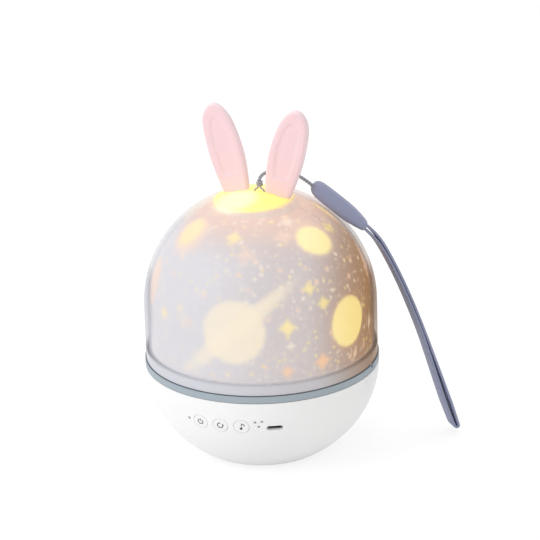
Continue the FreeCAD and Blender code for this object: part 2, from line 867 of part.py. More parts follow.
def gear_outline(teeth, addendum):
    """Closed wire of a spur gear with involute flanks."""
    pitch_r = gear_module * teeth / 2
    base_r = pitch_r * math.cos(pressure_angle)
    tip_r = pitch_r + addendum
    root_r = pitch_r - gear_dedendum
    start_r = max(base_r, root_r)
    half_tooth = math.pi / (2 * teeth) - gear_backlash / (4 * pitch_r)
    at_pitch = math.tan(pressure_angle) - pressure_angle

    def half_angle(r):
        lean = math.acos(min(base_r / r, 1))
        return half_tooth + at_pitch - (math.tan(lean) - lean)

    def point(r, turn):
        return V(r * math.cos(turn), r * math.sin(turn), 0)

    middle_r = (start_r + tip_r) / 2
    edges = []
    for tooth in range(teeth):
        middle = 2 * math.pi * tooth / teeth
        after = middle + 2 * math.pi / teeth
        up = [point(r, middle - half_angle(r)) for r in (start_r, middle_r, tip_r)]
        down = [point(r, middle + half_angle(r)) for r in (tip_r, middle_r, start_r)]
        edges.append(Part.Arc(*up).toShape())
        edges.append(Part.makeLine(up[-1], down[0]))
        edges.append(Part.Arc(*down).toShape())
        root_start = point(root_r, middle + half_angle(start_r))
        root_end = point(root_r, after - half_angle(start_r))
        next_start = point(start_r, after - half_angle(start_r))
        if root_r < start_r:
            edges.append(Part.makeLine(down[-1], root_start))
        edges.append(Part.makeLine(root_start, root_end))
        if root_r < start_r:
            edges.append(Part.makeLine(root_end, next_start))
    return Part.Wire(edges)


def turntable():
    """Tray with its hub, ribs, ring gear and the channel that holds the film dome."""
    plate = rod(tray_r, tray_low, tray_top)
    lip = ring(tray_r, tray_lip_in_r, tray_low, tray_top + tray_lip_height)
    upstand_r = carrier_in_r - cover_fit
    upstand = ring(upstand_r, upstand_r - tray_upstand_wall, tray_low, tray_top + tray_upstand_height)
    hub = rod(hub_r, hub_low, hub_top)
    gear = Part.Face(gear_outline(gear_teeth, gear_addendum)).extrude(V(0, 0, gear_depth))
    gear.rotate(V(0, 0, 0), UP, motor_angle)
    gear.translate(V(0, 0, gear_low))
    root_r = gear_pitch_r - gear_dedendum
    gear = gear.cut(rod(root_r - gear_rim, gear_low, tray_low))
    ribs = []
    for step in range(tray_rib_count):
        half = tray_rib_wall / 2
        rib = block(hub_r - half, root_r - gear_rim / 2, -half, half, tray_low - tray_rib_depth, tray_low)
        rib.rotate(V(0, 0, 0), UP, 360 * (step + 0.5) / tray_rib_count)
        ribs.append(rib)
    bore = rod(post_r + running_gap, hub_low, hub_top)
    return joined([plate, lip, upstand, hub, gear] + ribs).cut(bore)


def film_carrier():
    """Clear inner dome, open at the top, that stands in the tray's channel."""
    shell = dome(carrier_r, tray_top).cut(dome(carrier_in_r, tray_top))
    return shell.cut(rod(carrier_top_r, dome_z, dome_z + carrier_r))


def film_flap():
    """The film's overlapping end, cut off at a slant at its top."""
    high = min(tray_top + flap_height, dome_z)
    band = ring(flap_r, film_in_r, tray_top, high)
    wedge = Part.makeCylinder(2 * flap_r, high - tray_top, V(0, 0, tray_top), UP, flap_span)
    wedge.rotate(V(0, 0, 0), UP, flap_angle)
    flap = band.common(wedge)
    x, y = around(flap_r, flap_angle)
    slope = math.degrees(math.atan2(flap_slant, flap_r * math.radians(flap_span)))
    knife = block(-flap_r, flap_r, -flap_r, flap_r, 0, flap_height)
    knife.rotate(V(0, 0, 0), V(1, 0, 0), slope)
    knife.rotate(V(0, 0, 0), UP, flap_angle)
    knife.translate(V(x, y, high - flap_slant))
    return flap.cut(knife)


def star_film():
    """Printed film over the carrier: a dome open at the top, with a lap seam low on one side."""
    sheet = dome(film_r, tray_top).cut(dome(film_in_r, tray_top))
    sheet = sheet.cut(rod(film_top_r, dome_z, dome_z + film_r))
    return joined([sheet, film_flap()])


def motor_pinion():
    """Small gear on the motor's shaft."""
    low = tray_low - tray_above_spigot - pinion_length
    gear = Part.Face(gear_outline(pinion_teeth, pinion_addendum)).extrude(V(0, 0, pinion_length))
    gear.rotate(V(0, 0, 0), UP, motor_angle + 180 + 180 / pinion_teeth)
    gear.translate(V(motor_x, motor_y, low))
    return gear.cut(rod(motor_shaft_r, low, low + pinion_length, motor_x, motor_y))


def motor_shaft():
    """Steel shaft between the motor and the pinion."""
    low = deck_low - motor_length / 2 + running_gap
    return rod(motor_shaft_r, low, tray_low - tray_above_spigot, motor_x, motor_y)


# Buttons


def button(x):
    """Push button whose face follows the bowl, with a flange behind the wall and a stem."""
    stem_end = -board_depth + switch_height + switch_plunger_height + button_travel + running_gap
    cap = Part.makeCylinder(button_r, -stem_end, V(x, 0, stem_end))
    cap = placed(cap, control_frame).common(bowl(0, floor_z, rim_z))
    flange = Part.makeCylinder(button_flange_r, -stem_end, V(x, 0, stem_end))
    front = bowl_wall + button_flange_gap
    flange = placed(flange, control_frame).common(bowl(front, inner_floor, rim_z))
    flange = flange.cut(bowl(front + button_flange, inner_floor, rim_z))
    return joined([cap, flange])


# Lanyard


def in_plane(out, up, across=0.0):
    """Point in the lanyard's plane, or beside it."""
    x, y = around(out, lanyard_angle)
    dx, dy = around(across, lanyard_angle + 90)
    return V(x + dx, y + dy, up)


def rounded_route(name, points):
    """Wire of straight runs joined by tangent arcs as large as the runs allow."""
    edges = []
    last = points[0]
    radii = []
    for before, corner, after in zip(points, points[1:], points[2:]):
        into = (corner - before).normalize()
        away = (after - corner).normalize()
        reach = 0.45 * min((corner - before).Length, (after - corner).Length)
        half_turn = into.getAngle(away) / 2
        radius = reach / math.tan(half_turn)
        radii.append(round(radius, 1))
        inward = (away - into).normalize()
        start = corner - into * reach
        middle = corner + inward * (radius / math.cos(half_turn) - radius)
        end = corner + away * reach
        edges.append(Part.makeLine(last, start))
        edges.append(Part.Arc(start, middle, end).toShape())
        last = end
    edges.append(Part.makeLine(last, points[-1]))
    wire = Part.Wire(edges)
    print(f"{name}: length {wire.Length:.1f} mm, bend radii {radii} mm")
    return wire


def checked_sweep(name, route, section, area):
    """Solid swept along the route, with its volume compared with section times length."""
    solid = route.makePipeShell([section], True, True)
    print(f"{name}: volume {solid.Volume / (area * route.Length):.4f} of section times length")
    return solid


def tube(name, points, diameter):
    """Round cord along a route."""
    route = rounded_route(name, points)
    radius = diameter / 2
    section = Part.Wire(Part.Circle(points[0], points[1] - points[0], radius).toShape())
    return checked_sweep(name, route, section, math.pi * radius**2)


knot_low = dome_z + cover_r + knot_above_cover
knot_top = knot_low + knot_length
sleeve_axis = in_plane(math.cos(math.radians(sleeve_slope)), math.sin(math.radians(sleeve_slope)))
sleeve_turn = math.radians(sleeve_angle)
sleeve_reach = cover_r + sleeve_above_cover
sleeve_head = in_plane(sleeve_reach * math.sin(sleeve_turn), dome_z + sleeve_reach * math.cos(sleeve_turn))
sleeve_mouth = sleeve_head + sleeve_axis * sleeve_length


def lanyard_loop():
    """Thin loop through the cover's two holes, under the bridge between them."""
    y = lanyard_hole_y
    left = lanyard_hole_x - lanyard_hole_gap / 2
    right = lanyard_hole_x + lanyard_hole_gap / 2
    under = dome_z + cover_in_r - loop_d
    shoulder = dome_z + cover_r + loop_shoulder
    neck = knot_low - loop_d
    return tube(
        "lanyard_loop",
        [
            V(lanyard_hole_x - loop_tie, y, knot_low),
            V(lanyard_hole_x - loop_tie, y, neck),
            V(left, y, shoulder),
            V(left, y, under),
            V(right, y, under),
            V(right, y, shoulder),
            V(lanyard_hole_x + loop_tie, y, neck),
            V(lanyard_hole_x + loop_tie, y, knot_low),
        ],
        loop_d,
    )


def lanyard_knot():
    """Small wound knot where the loop joins the cord."""
    knot = rod(knot_r, knot_low, knot_top, lanyard_hole_x, lanyard_hole_y)
    return knot.makeFillet(knot_round, [e for e in knot.Edges if e.Closed])


def lanyard_cord():
    """Cord from the knot, behind the right ear, to the sleeve."""
    knot_end = V(lanyard_hole_x, lanyard_hole_y, knot_top)
    points = [knot_end, knot_end + UP * cord_rise]
    points += [knot_end + V(*step) for step in cord_route]
    points += [sleeve_head - sleeve_axis * cord_lead, sleeve_head]
    return tube("lanyard_cord", points, cord_d)


def lanyard_sleeve():
    """Rubber sleeve that joins the cord to the strap, flat-sided with round edges."""
    half = sleeve_thickness / 2
    flat = sleeve_width - sleeve_thickness
    body = block(-flat / 2, flat / 2, -half, half, 0, sleeve_length)
    edges = [Part.makeCylinder(half, sleeve_length, V(side * flat / 2, 0, 0)) for side in (-1, 1)]
    body = joined([body] + edges)
    head = [e for e in body.Edges if e.BoundBox.ZMax < 0.01]
    body = body.makeFillet(sleeve_round, head)
    mouth = [e for e in body.Edges if e.BoundBox.ZMin > sleeve_length - 0.01]
    body = body.makeFillet(sleeve_mouth_round, mouth)
    across = in_plane(0, 0, 1)
    through = sleeve_axis.cross(across)
    turn = FreeCAD.Matrix(
        across.x, through.x, sleeve_axis.x, sleeve_head.x,
        across.y, through.y, sleeve_axis.y, sleeve_head.y,
        across.z, through.z, sleeve_axis.z, sleeve_head.z,
        0, 0, 0, 1,
    )
    return placed(body, FreeCAD.Placement(turn))


def lanyard_strap():
    """Flat band folded double: out of the sleeve, down to the surface and back."""
    leaving = V(math.cos(math.radians(sleeve_slope)), 0, math.sin(math.radians(sleeve_slope)))
    mouth = V(sleeve_mouth.dot(in_plane(1, 0)), 0, sleeve_mouth.z)
    line = [(p.x, p.z, strap_mouth_half) for p in (mouth, mouth + leaving * strap_mouth_run)]
    out_last, down_last, half_last = strap_route[-1]
    wider = (body_r + strap_reach - mouth.x) / out_last
    longer = (mouth.z - strap_tip_rise) / down_last
    line += [(mouth.x + out * wider, mouth.z - down * longer, half) for out, down, half in strap_route]
    far_side = []
    near_side = []
    for index, (out, up, half) in enumerate(line):
        before = line[max(index - 1, 0)]
        after = line[min(index + 1, len(line) - 1)]
        along = leaving if index < 2 else V(after[0] - before[0], 0, after[1] - before[1]).normalize()
        far_side.append(in_plane(out - along.z * half, up + along.x * half))
        near_side.append(in_plane(out + along.z * half, up - along.x * half))
    tip_along = in_plane(along.x * half_last, along.z * half_last)
    turn = [far_side[-1] + tip_along, near_side[-1] + tip_along]
    points = far_side + turn + near_side[::-1]
    route = rounded_route("lanyard_strap", points)
    start = (points[1] - points[0]).normalize()
    across = in_plane(0, 0, 1)
    through = start.cross(across)
    corners = [
        points[0] + across * (a * strap_width / 2) + through * (b * strap_layer / 2)
        for a, b in ((-1, -1), (1, -1), (1, 1), (-1, 1))
    ]
    section = Part.makePolygon(corners + corners[:1])
    return checked_sweep("lanyard_strap", route, section, strap_width * strap_layer)


nodes = {
    "base_shell": base_shell(),
    "foot_ring": foot_ring(),
    "trim_ring": trim_ring(),
    "deck_plate": deck_plate(),
    "lamp_post": lamp_post(),
    "thrust_washer": thrust_washer(),
    "hub_clip": hub_clip(),
    "heat_sink": heat_sink(),
    "lamp_board": lamp_board(),
    "lamp_chips": lamp_chips(),
    "lamp_lens": lamp_lens(),
    "motor": motor(),
    "main_board": main_board(),
    "tact_switches": tact_switches(),
    "indicator_light": indicator_light(),
    "charge_board": charge_board(),
    "usb_socket": usb_socket(),
    "battery": battery(),
    "battery_cradle": battery_cradle(),
    "speaker_frame": speaker_frame(),
    "speaker_cone": speaker_cone(),
    "speaker_magnet": speaker_magnet(),
    "deck_screws": deck_screws(),
    "post_screws": post_screws(),
    "motor_screws": motor_screws(),
    "board_screws": board_screws(),
    "outer_cover": outer_cover(),
    "ear_left": ear(-1),
    "ear_right": ear(1),
    "lanyard_loop": lanyard_loop(),
    "lanyard_knot": lanyard_knot(),
    "lanyard_cord": lanyard_cord(),
    "lanyard_sleeve": lanyard_sleeve(),
    "lanyard_strap": lanyard_strap(),
    "turntable": turntable(),
    "film_carrier": film_carrier(),
    "star_film": star_film(),
    "motor_pinion": motor_pinion(),
    "motor_shaft": motor_shaft(),
}
for place, name in button_places:
    nodes[f"{name}_button"] = button(place)

os.makedirs("parts", exist_ok=True)
for name, shape in nodes.items():
    if not shape.isValid():
        raise ValueError(f"{name} isn't a valid solid")
    shape.exportStep(f"parts/{name}.step")
print(f"{len(nodes)} nodes")
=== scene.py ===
import math

import bmesh
import bpy
import numpy as np
from mathutils import Matrix, Vector
from mathutils.bvhtree import BVHTree


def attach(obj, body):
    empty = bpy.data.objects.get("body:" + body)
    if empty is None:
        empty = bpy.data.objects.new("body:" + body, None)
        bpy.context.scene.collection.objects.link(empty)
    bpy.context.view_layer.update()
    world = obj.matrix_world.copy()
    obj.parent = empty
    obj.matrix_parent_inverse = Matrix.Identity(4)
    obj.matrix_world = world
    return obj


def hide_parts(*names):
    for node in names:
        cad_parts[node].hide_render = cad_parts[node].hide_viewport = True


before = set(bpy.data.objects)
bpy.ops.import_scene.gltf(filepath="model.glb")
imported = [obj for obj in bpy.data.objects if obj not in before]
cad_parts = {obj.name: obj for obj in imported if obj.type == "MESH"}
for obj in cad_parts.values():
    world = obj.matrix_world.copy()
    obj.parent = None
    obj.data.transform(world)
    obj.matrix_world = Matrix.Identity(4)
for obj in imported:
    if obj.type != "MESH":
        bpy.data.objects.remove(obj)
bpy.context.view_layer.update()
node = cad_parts
MM = 0.001

# The camera stands in front of the light, a little to its right and above it, a metre and a
# half away behind a long lens, and it is tipped by a degree and a half, as the photograph was.
PHOTO_SIDE = 540
VIEW_TURN = math.radians(22)
VIEW_RISE = math.radians(20.95)
VIEW_TIP = math.radians(-1.62)
VIEW_DISTANCE = 1.5
FOCAL_PIXELS = 2833.5
AIM_RIGHT = 5.45 * MM
AIM_UP = 98.98 * MM

level_right = Vector((math.cos(VIEW_TURN), math.sin(VIEW_TURN), 0))
level_ahead = Vector((-math.sin(VIEW_TURN), math.cos(VIEW_TURN), 0))
sight = math.cos(VIEW_RISE) * level_ahead - math.sin(VIEW_RISE) * Vector((0, 0, 1))
straight_up = level_right.cross(sight)
view_right = math.cos(VIEW_TIP) * level_right + math.sin(VIEW_TIP) * straight_up
view_up = math.cos(VIEW_TIP) * straight_up - math.sin(VIEW_TIP) * level_right
aim = AIM_RIGHT * level_right + Vector((0, 0, AIM_UP))

camera = bpy.data.objects.new("camera", bpy.data.cameras.new("camera"))
bpy.context.scene.collection.objects.link(camera)
camera.data.sensor_width = 36
camera.data.lens = FOCAL_PIXELS / PHOTO_SIDE * camera.data.sensor_width
camera.data.clip_end = 20
turned = Matrix((view_right, view_up, -sight)).transposed().to_4x4()
camera.matrix_world = Matrix.Translation(aim - VIEW_DISTANCE * sight) @ turned
bpy.context.scene.camera = camera

# The set is a white table under a white sky. Both show plain white to the camera, and the
# table keeps a faint shadow. Three large soft lamps light the object evenly.
TABLE_HALF = 3.0
SKY_LIGHT = 0.62
SHADOW_SHARE = 0.3
TABLE_GLOW = 1.12
LAMPS = (
    ("lamp_left", (-0.9, -1.1, 0.9), 0.9, 9.5, (0.97, 0.98, 1.0)),
    ("lamp_right", (1.3, -0.7, 0.7), 0.9, 1.9, (1.0, 0.98, 0.95)),
    ("lamp_top", (-0.2, 0.3, 1.4), 0.8, 4.5, (1.0, 1.0, 1.0)),
)


def link(tree, source, target):
    tree.links.new(source, target)


def seen_directly(tree):
    """1 for rays from the camera, from a gloss and through a clear body, and 0 for the rest."""
    path = tree.nodes.new("ShaderNodeLightPath")
    total = path.outputs["Is Camera Ray"]
    for name in ("Is Glossy Ray", "Is Transmission Ray"):
        either = tree.nodes.new("ShaderNodeMath")
        either.operation = "MAXIMUM"
        link(tree, total, either.inputs[0])
        link(tree, path.outputs[name], either.inputs[1])
        total = either.outputs[0]
    return total


sky = bpy.data.worlds.new("sky")
sky.use_nodes = True
bpy.context.scene.world = sky
tree = sky.node_tree
tree.nodes.clear()
sky_lit = tree.nodes.new("ShaderNodeBackground")
sky_lit.inputs["Strength"].default_value = SKY_LIGHT
sky_seen = tree.nodes.new("ShaderNodeBackground")
sky_mix = tree.nodes.new("ShaderNodeMixShader")
sky_out = tree.nodes.new("ShaderNodeOutputWorld")
for background in (sky_lit, sky_seen):
    background.inputs["Color"].default_value = (1, 1, 1, 1)
link(tree, seen_directly(tree), sky_mix.inputs[0])
link(tree, sky_lit.outputs[0], sky_mix.inputs[1])
link(tree, sky_seen.outputs[0], sky_mix.inputs[2])
link(tree, sky_mix.outputs[0], sky_out.inputs[0])

for name, place, size, power, colour in LAMPS:
    lamp = bpy.data.lights.new(name, "AREA")
    lamp.size = size
    lamp.energy = power
    lamp.color = colour
    holder = bpy.data.objects.new(name, lamp)
    bpy.context.scene.collection.objects.link(holder)
    holder.location = place
    holder.rotation_euler = (aim - Vector(place)).to_track_quat("-Z", "Y").to_euler()

table_mesh = bpy.data.meshes.new("table")
corners = [(x * TABLE_HALF, y * TABLE_HALF, 0) for x, y in ((-1, -1), (1, -1), (1, 1), (-1, 1))]
table_mesh.from_pydata(corners, [], [(0, 1, 2, 3)])
table = bpy.data.objects.new("table", table_mesh)
bpy.context.scene.collection.objects.link(table)
table_finish = bpy.data.materials.new("white_table")
table_finish.use_nodes = True
tree = table_finish.node_tree
tree.nodes.clear()
table_lit = tree.nodes.new("ShaderNodeBsdfDiffuse")
table_lit.inputs["Color"].default_value = (0.92, 0.92, 0.92, 1)
table_seen = tree.nodes.new("ShaderNodeEmission")
table_seen.inputs["Strength"].default_value = TABLE_GLOW
table_share = tree.nodes.new("ShaderNodeMath")
table_share.operation = "MULTIPLY"
table_share.inputs[1].default_value = 1 - SHADOW_SHARE
table_mix = tree.nodes.new("ShaderNodeMixShader")
table_out = tree.nodes.new("ShaderNodeOutputMaterial")
link(tree, seen_directly(tree), table_share.inputs[0])
link(tree, table_share.outputs[0], table_mix.inputs[0])
link(tree, table_lit.outputs[0], table_mix.inputs[1])
link(tree, table_seen.outputs[0], table_mix.inputs[2])
link(tree, table_mix.outputs[0], table_out.inputs[0])
table_mesh.materials.append(table_finish)
bpy.context.scene.view_settings.view_transform = "Standard"

# The bowl is injection moulded in white ABS with a fine satin texture. The holes for the
# buttons, the light dot, the charging port and the screw bosses are moulded with it.


def plastic(name, colour, roughness=0.4, grain=900.0, relief=0.06, mottle=0.03, patches=35.0, **extra):
    """A moulded, cast or cut material: slight patches in the colour, uneven gloss and a fine grain."""
    material = bpy.data.materials.new(name)
    material.use_nodes = True
    tree = material.node_tree
    shader = tree.nodes["Principled BSDF"]
    place = tree.nodes.new("ShaderNodeTexCoord")
    clouds = tree.nodes.new("ShaderNodeTexNoise")
    clouds.inputs["Scale"].default_value = patches
    clouds.inputs["Detail"].default_value = 4
    link(tree, place.outputs["Object"], clouds.inputs["Vector"])
    tint = tree.nodes.new("ShaderNodeMix")
    tint.data_type = "RGBA"
    tint.inputs["A"].default_value = (*[c * (1 - mottle) for c in colour], 1)
    tint.inputs["B"].default_value = (*[min(c * (1 + mottle), 1) for c in colour], 1)
    link(tree, clouds.outputs["Fac"], tint.inputs["Factor"])
    link(tree, tint.outputs["Result"], shader.inputs["Base Color"])
    gloss = tree.nodes.new("ShaderNodeMapRange")
    gloss.inputs["To Min"].default_value = roughness * 0.85
    gloss.inputs["To Max"].default_value = min(roughness * 1.15, 1)
    link(tree, clouds.outputs["Fac"], gloss.inputs["Value"])
    link(tree, gloss.outputs["Result"], shader.inputs["Roughness"])
    fine = tree.nodes.new("ShaderNodeTexNoise")
    fine.inputs["Scale"].default_value = grain
    fine.inputs["Detail"].default_value = 3
    link(tree, place.outputs["Object"], fine.inputs["Vector"])
    bump = tree.nodes.new("ShaderNodeBump")
    bump.inputs["Strength"].default_value = relief
    bump.inputs["Distance"].default_value = 0.2 * MM
    link(tree, fine.outputs["Fac"], bump.inputs["Height"])
    link(tree, bump.outputs["Normal"], shader.inputs["Normal"])
    for socket, value in extra.items():
        shader.inputs[socket.replace("_", " ")].default_value = value
    return material


def smooth_piece(name, cad_node, body, slot, material, sharp=32):
    """A copy of a CAD node's mesh with its doubles merged and its round faces shaded smooth."""
    mesh = node[cad_node].data.copy()
    mesh.name = name
    shape = bmesh.new()
    shape.from_mesh(mesh)
    bmesh.ops.remove_doubles(shape, verts=shape.verts, dist=0.002 * MM)
    bmesh.ops.dissolve_degenerate(shape, edges=shape.edges, dist=0.001 * MM)
    shape.to_mesh(mesh)
    shape.free()
    return finished(name, mesh, body, slot, material, sharp, cad_node)


def finished(name, mesh, body, slot, material, sharp=32, *replaced):
    """A mesh as a piece of the object, on its body and with its finish."""
    while mesh.has_custom_normals:
        mesh.normals_split_custom_set([(0, 0, 0)] * len(mesh.loops))
        mesh.attributes.remove(mesh.attributes["custom_normal"])
    mesh.materials.clear()
    mesh.materials.append(material)
    mesh.shade_smooth()
    mesh.set_sharp_from_angle(angle=math.radians(sharp))
    piece = bpy.data.objects.new(name, mesh)
    bpy.context.scene.collection.objects.link(piece)
    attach(piece, body)
    if replaced:
        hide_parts(*replaced)
    return piece


white_abs = plastic("white_abs", (0.93, 0.93, 0.925), 0.38, relief=0.05, mottle=0.01, Coat_Weight=0.12)
smooth_piece("white_bowl", "base_shell", "base", "white_shell", white_abs)

# The foot is a ring of grey silicone rubber, pressed into the groove under the bowl. It
# keeps the light from sliding.
foot_rubber = plastic("foot_rubber", (0.30, 0.31, 0.33), 0.75, relief=0.15)
smooth_piece("rubber_foot", "foot_ring", "base", "foot_rubber", foot_rubber)

# The ring between the bowl and the cover is moulded in blue-grey plastic. It is pushed down
# into the bowl, and the cover slips over its spigot.
ring_plastic = plastic("blue_grey_plastic", (0.37, 0.43, 0.475), 0.5, relief=0.05)
# Painted shade: dark lines at the ring's two edges, where shade falls in the gaps beside it, at these
# heights.
GAP_SHADE_LINES = (49.05 * MM, 53.1 * MM)
GAP_SHADE_HALF = 0.3 * MM
GAP_SHADE_GREY = (0.10, 0.12, 0.14)


def calculate(tree, operation, *values):
    """A Math node of the values, each a number or a socket."""
    sum_node = tree.nodes.new("ShaderNodeMath")
    sum_node.operation = operation
    for slot_index, value in enumerate(values):
        if isinstance(value, (int, float)):
            sum_node.inputs[slot_index].default_value = value
        else:
            link(tree, value, sum_node.inputs[slot_index])
    return sum_node.outputs[0]


def vector_step(tree, operation, first, second):
    """A Vector Math node of a socket and a fixed vector."""
    step = tree.nodes.new("ShaderNodeVectorMath")
    step.operation = operation
    link(tree, first, step.inputs[0])
    step.inputs[1].default_value = second
    return step


def blended(tree, share, under, over):
    """The colour over laid on the colour under by a share. Each colour is fixed or a socket."""
    mix = tree.nodes.new("ShaderNodeMix")
    mix.data_type = "RGBA"
    link(tree, share, mix.inputs["Factor"])
    for socket, colour in (("A", under), ("B", over)):
        if isinstance(colour, tuple):
            mix.inputs[socket].default_value = (*colour, 1)
        else:
            link(tree, colour, mix.inputs[socket])
    return mix.outputs["Result"]


def ramp(tree, value, low, high, to_low=0.0, to_high=1.0):
    """A value eased from one range to another."""
    ease = tree.nodes.new("ShaderNodeMapRange")
    ease.interpolation_type = "SMOOTHSTEP"
    link(tree, value, ease.inputs["Value"])
    for socket, number in (("From Min", low), ("From Max", high), ("To Min", to_low), ("To Max", to_high)):
        ease.inputs[socket].default_value = number
    return ease.outputs["Result"]


tree = ring_plastic.node_tree
shader = tree.nodes["Principled BSDF"]
place = tree.nodes.new("ShaderNodeTexCoord")
height = vector_step(tree, "DOT_PRODUCT", place.outputs["Object"], (0, 0, 1)).outputs["Value"]
for line_height in GAP_SHADE_LINES:
    away = calculate(tree, "ABSOLUTE", calculate(tree, "SUBTRACT", height, line_height))
    under = shader.inputs["Base Color"].links[0].from_socket
    gap_shaded = blended(tree, ramp(tree, away, GAP_SHADE_HALF, GAP_SHADE_HALF / 3), under, GAP_SHADE_GREY)
    link(tree, gap_shaded, shader.inputs["Base Color"])
smooth_piece("blue_grey_ring", "trim_ring", "base", "blue_grey_ring", ring_plastic)

# The lamp and its post, the motor, the boards, the cell and the speaker are bought in or
# moulded, and screwed or clipped to the deck and the bowl. They show when the cover is off.


def dress(cad_node, material):
    """Gives a CAD node its material."""
    node[cad_node].data.materials.clear()
    node[cad_node].data.materials.append(material)


def with_lines(material, scale, colour, width=0.06, kind="BANDS", along="X"):
    """Lays a regular line pattern over a material's colour, such as copper tracks or turned rings."""
    tree = material.node_tree
    shader = tree.nodes["Principled BSDF"]
    under = shader.inputs["Base Color"].links[0].from_socket
    place = tree.nodes.new("ShaderNodeTexCoord")
    wave = tree.nodes.new("ShaderNodeTexWave")
    wave.wave_type = kind
    if kind == "BANDS":
        wave.bands_direction = along
    else:
        wave.rings_direction = along
    wave.inputs["Scale"].default_value = scale
    wave.inputs["Distortion"].default_value = 1.2
    wave.inputs["Detail"].default_value = 1
    link(tree, place.outputs["Object"], wave.inputs["Vector"])
    edge = tree.nodes.new("ShaderNodeMapRange")
    edge.inputs["From Min"].default_value = 1 - 2 * width
    edge.inputs["From Max"].default_value = 1 - width
    link(tree, wave.outputs["Fac"], edge.inputs["Value"])
    over = tree.nodes.new("ShaderNodeMix")
    over.data_type = "RGBA"
    over.inputs["B"].default_value = (*colour, 1)
    link(tree, edge.outputs["Result"], over.inputs["Factor"])
    link(tree, under, over.inputs["A"])
    link(tree, over.outputs["Result"], shader.inputs["Base Color"])
    return material


pale_abs = plastic("pale_abs", (0.80, 0.80, 0.80), 0.5)
dress("deck_plate", pale_abs)
dress("lamp_post", pale_abs)
dress("thrust_washer", plastic("washer_acetal", (0.86, 0.86, 0.82), 0.3))
spring_steel = plastic("spring_steel", (0.50, 0.50, 0.52), 0.32, 1500, Metallic=1.0)
dress("hub_clip", spring_steel)
bare_aluminium = plastic("bare_aluminium", (0.66, 0.67, 0.69), 0.42, 1800, 0.12, Metallic=1.0)
dress("heat_sink", bare_aluminium)
white_board = plastic("white_solder_mask", (0.85, 0.85, 0.82), 0.35)
dress("lamp_board", with_lines(white_board, 220, (0.62, 0.62, 0.58)))
lamp_glow = {"Emission_Color": (1, 0.78, 0.4, 1), "Emission_Strength": 1.6}
dress("lamp_chips", plastic("phosphor", (0.93, 0.72, 0.22), 0.5, 2500, **lamp_glow))
dress("lamp_lens", plastic("clear_lens", (0.95, 0.96, 0.97), 0.12, relief=0.02, Alpha=0.35))
motor_steel = plastic("plated_steel", (0.58, 0.58, 0.60), 0.3, 1400, Metallic=1.0)
dress("motor", motor_steel)
green_board = with_lines(plastic("green_solder_mask", (0.02, 0.17, 0.07), 0.3), 260, (0.05, 0.30, 0.14))
dress("main_board", green_board)
dress("charge_board", green_board)
dress("tact_switches", plastic("switch_black", (0.02, 0.02, 0.022), 0.45))
dress("indicator_light", plastic("light_pipe", (0.30, 0.33, 0.34), 0.2, relief=0.02))
dress("usb_socket", plastic("socket_steel", (0.36, 0.36, 0.38), 0.35, 1400, Metallic=1.0))
dress("battery", plastic("shrink_sleeve", (0.03, 0.18, 0.42), 0.25, 400, 0.1, Coat_Weight=0.4))
dress("battery_cradle", plastic("cradle_black", (0.025, 0.025, 0.028), 0.5))
dress("speaker_frame", plastic("basket_lacquer", (0.02, 0.02, 0.022), 0.4))
paper = plastic("cone_paper", (0.03, 0.03, 0.03), 0.9, 1400, 0.3)
dress("speaker_cone", with_lines(paper, 190, (0.045, 0.045, 0.045), 0.3, "RINGS", "Z"))
dress("speaker_magnet", plastic("magnet_plating", (0.28, 0.28, 0.30), 0.35, Metallic=1.0))
zinc = plastic("zinc_plating", (0.62, 0.62, 0.60), 0.3, 1800, Metallic=1.0)
for screws in ("deck_screws", "post_screws", "motor_screws", "board_screws"):
    dress(screws, zinc)
dress("motor_shaft", motor_steel)
dress("motor_pinion", plastic("pinion_acetal", (0.85, 0.85, 0.80), 0.35))
# Beyond this radius the tray's lip is nearly clear and has a faint painted glow, as painted lamp light, so
# that the film's foot shows.
LIP_R = 58.95 * MM
LIP_SOLID = 0.12
tray_acetal = plastic("tray_acetal", (0.84, 0.84, 0.83), 0.4)
tree = tray_acetal.node_tree
shader = tree.nodes["Principled BSDF"]
place = tree.nodes.new("ShaderNodeTexCoord")
flat = vector_step(tree, "MULTIPLY", place.outputs["Object"], (1, 1, 0)).outputs["Vector"]
reach = vector_step(tree, "LENGTH", flat, (0, 0, 0)).outputs["Value"]
in_lip = calculate(tree, "GREATER_THAN", reach, LIP_R)
link(tree, ramp(tree, in_lip, 0.0, 1.0, 1.0, LIP_SOLID), shader.inputs["Alpha"])
# Painted light: the lip glows faintly, as if the lamp lit it.
link(tree, in_lip, shader.inputs["Emission Strength"])
shader.inputs["Emission Color"].default_value = (0.45, 0.42, 0.43, 1)
dress("turntable", tray_acetal)

# The film dome is a clear moulded carrier with a printed film over it. The print is dense
# except in the figures, where the lamp inside shines through, softened by the milky cover.
# That lamp light is painted as the film's glow, and the glow carries painted light and shade.
DOME_MIDDLE = Vector((0, 0, 82 * MM))
LIT_LEFT_BACKGROUND = (0.78, 0.75, 0.76)
HALF_LIT_MIDDLE_BACKGROUND = (0.68, 0.57, 0.52)
SHADED_RIGHT_BACKGROUND = (0.42, 0.20, 0.06)
LAMP_WARMED_TOP_BACKGROUND = (0.80, 0.52, 0.36)
SEAM_DARK = (0.08, 0.05, 0.04)
CREAM = (1.30, 1.08, 0.64)
YELLOW = (1.40, 1.08, 0.20)
PALE_YELLOW = (1.25, 1.02, 0.45)
PEACH = (1.20, 0.78, 0.48)
ORANGE = (1.30, 0.68, 0.22)
WHITE_GLOW = (1.20, 1.02, 0.72)
SUN = (1.65, 1.36, 0.40)
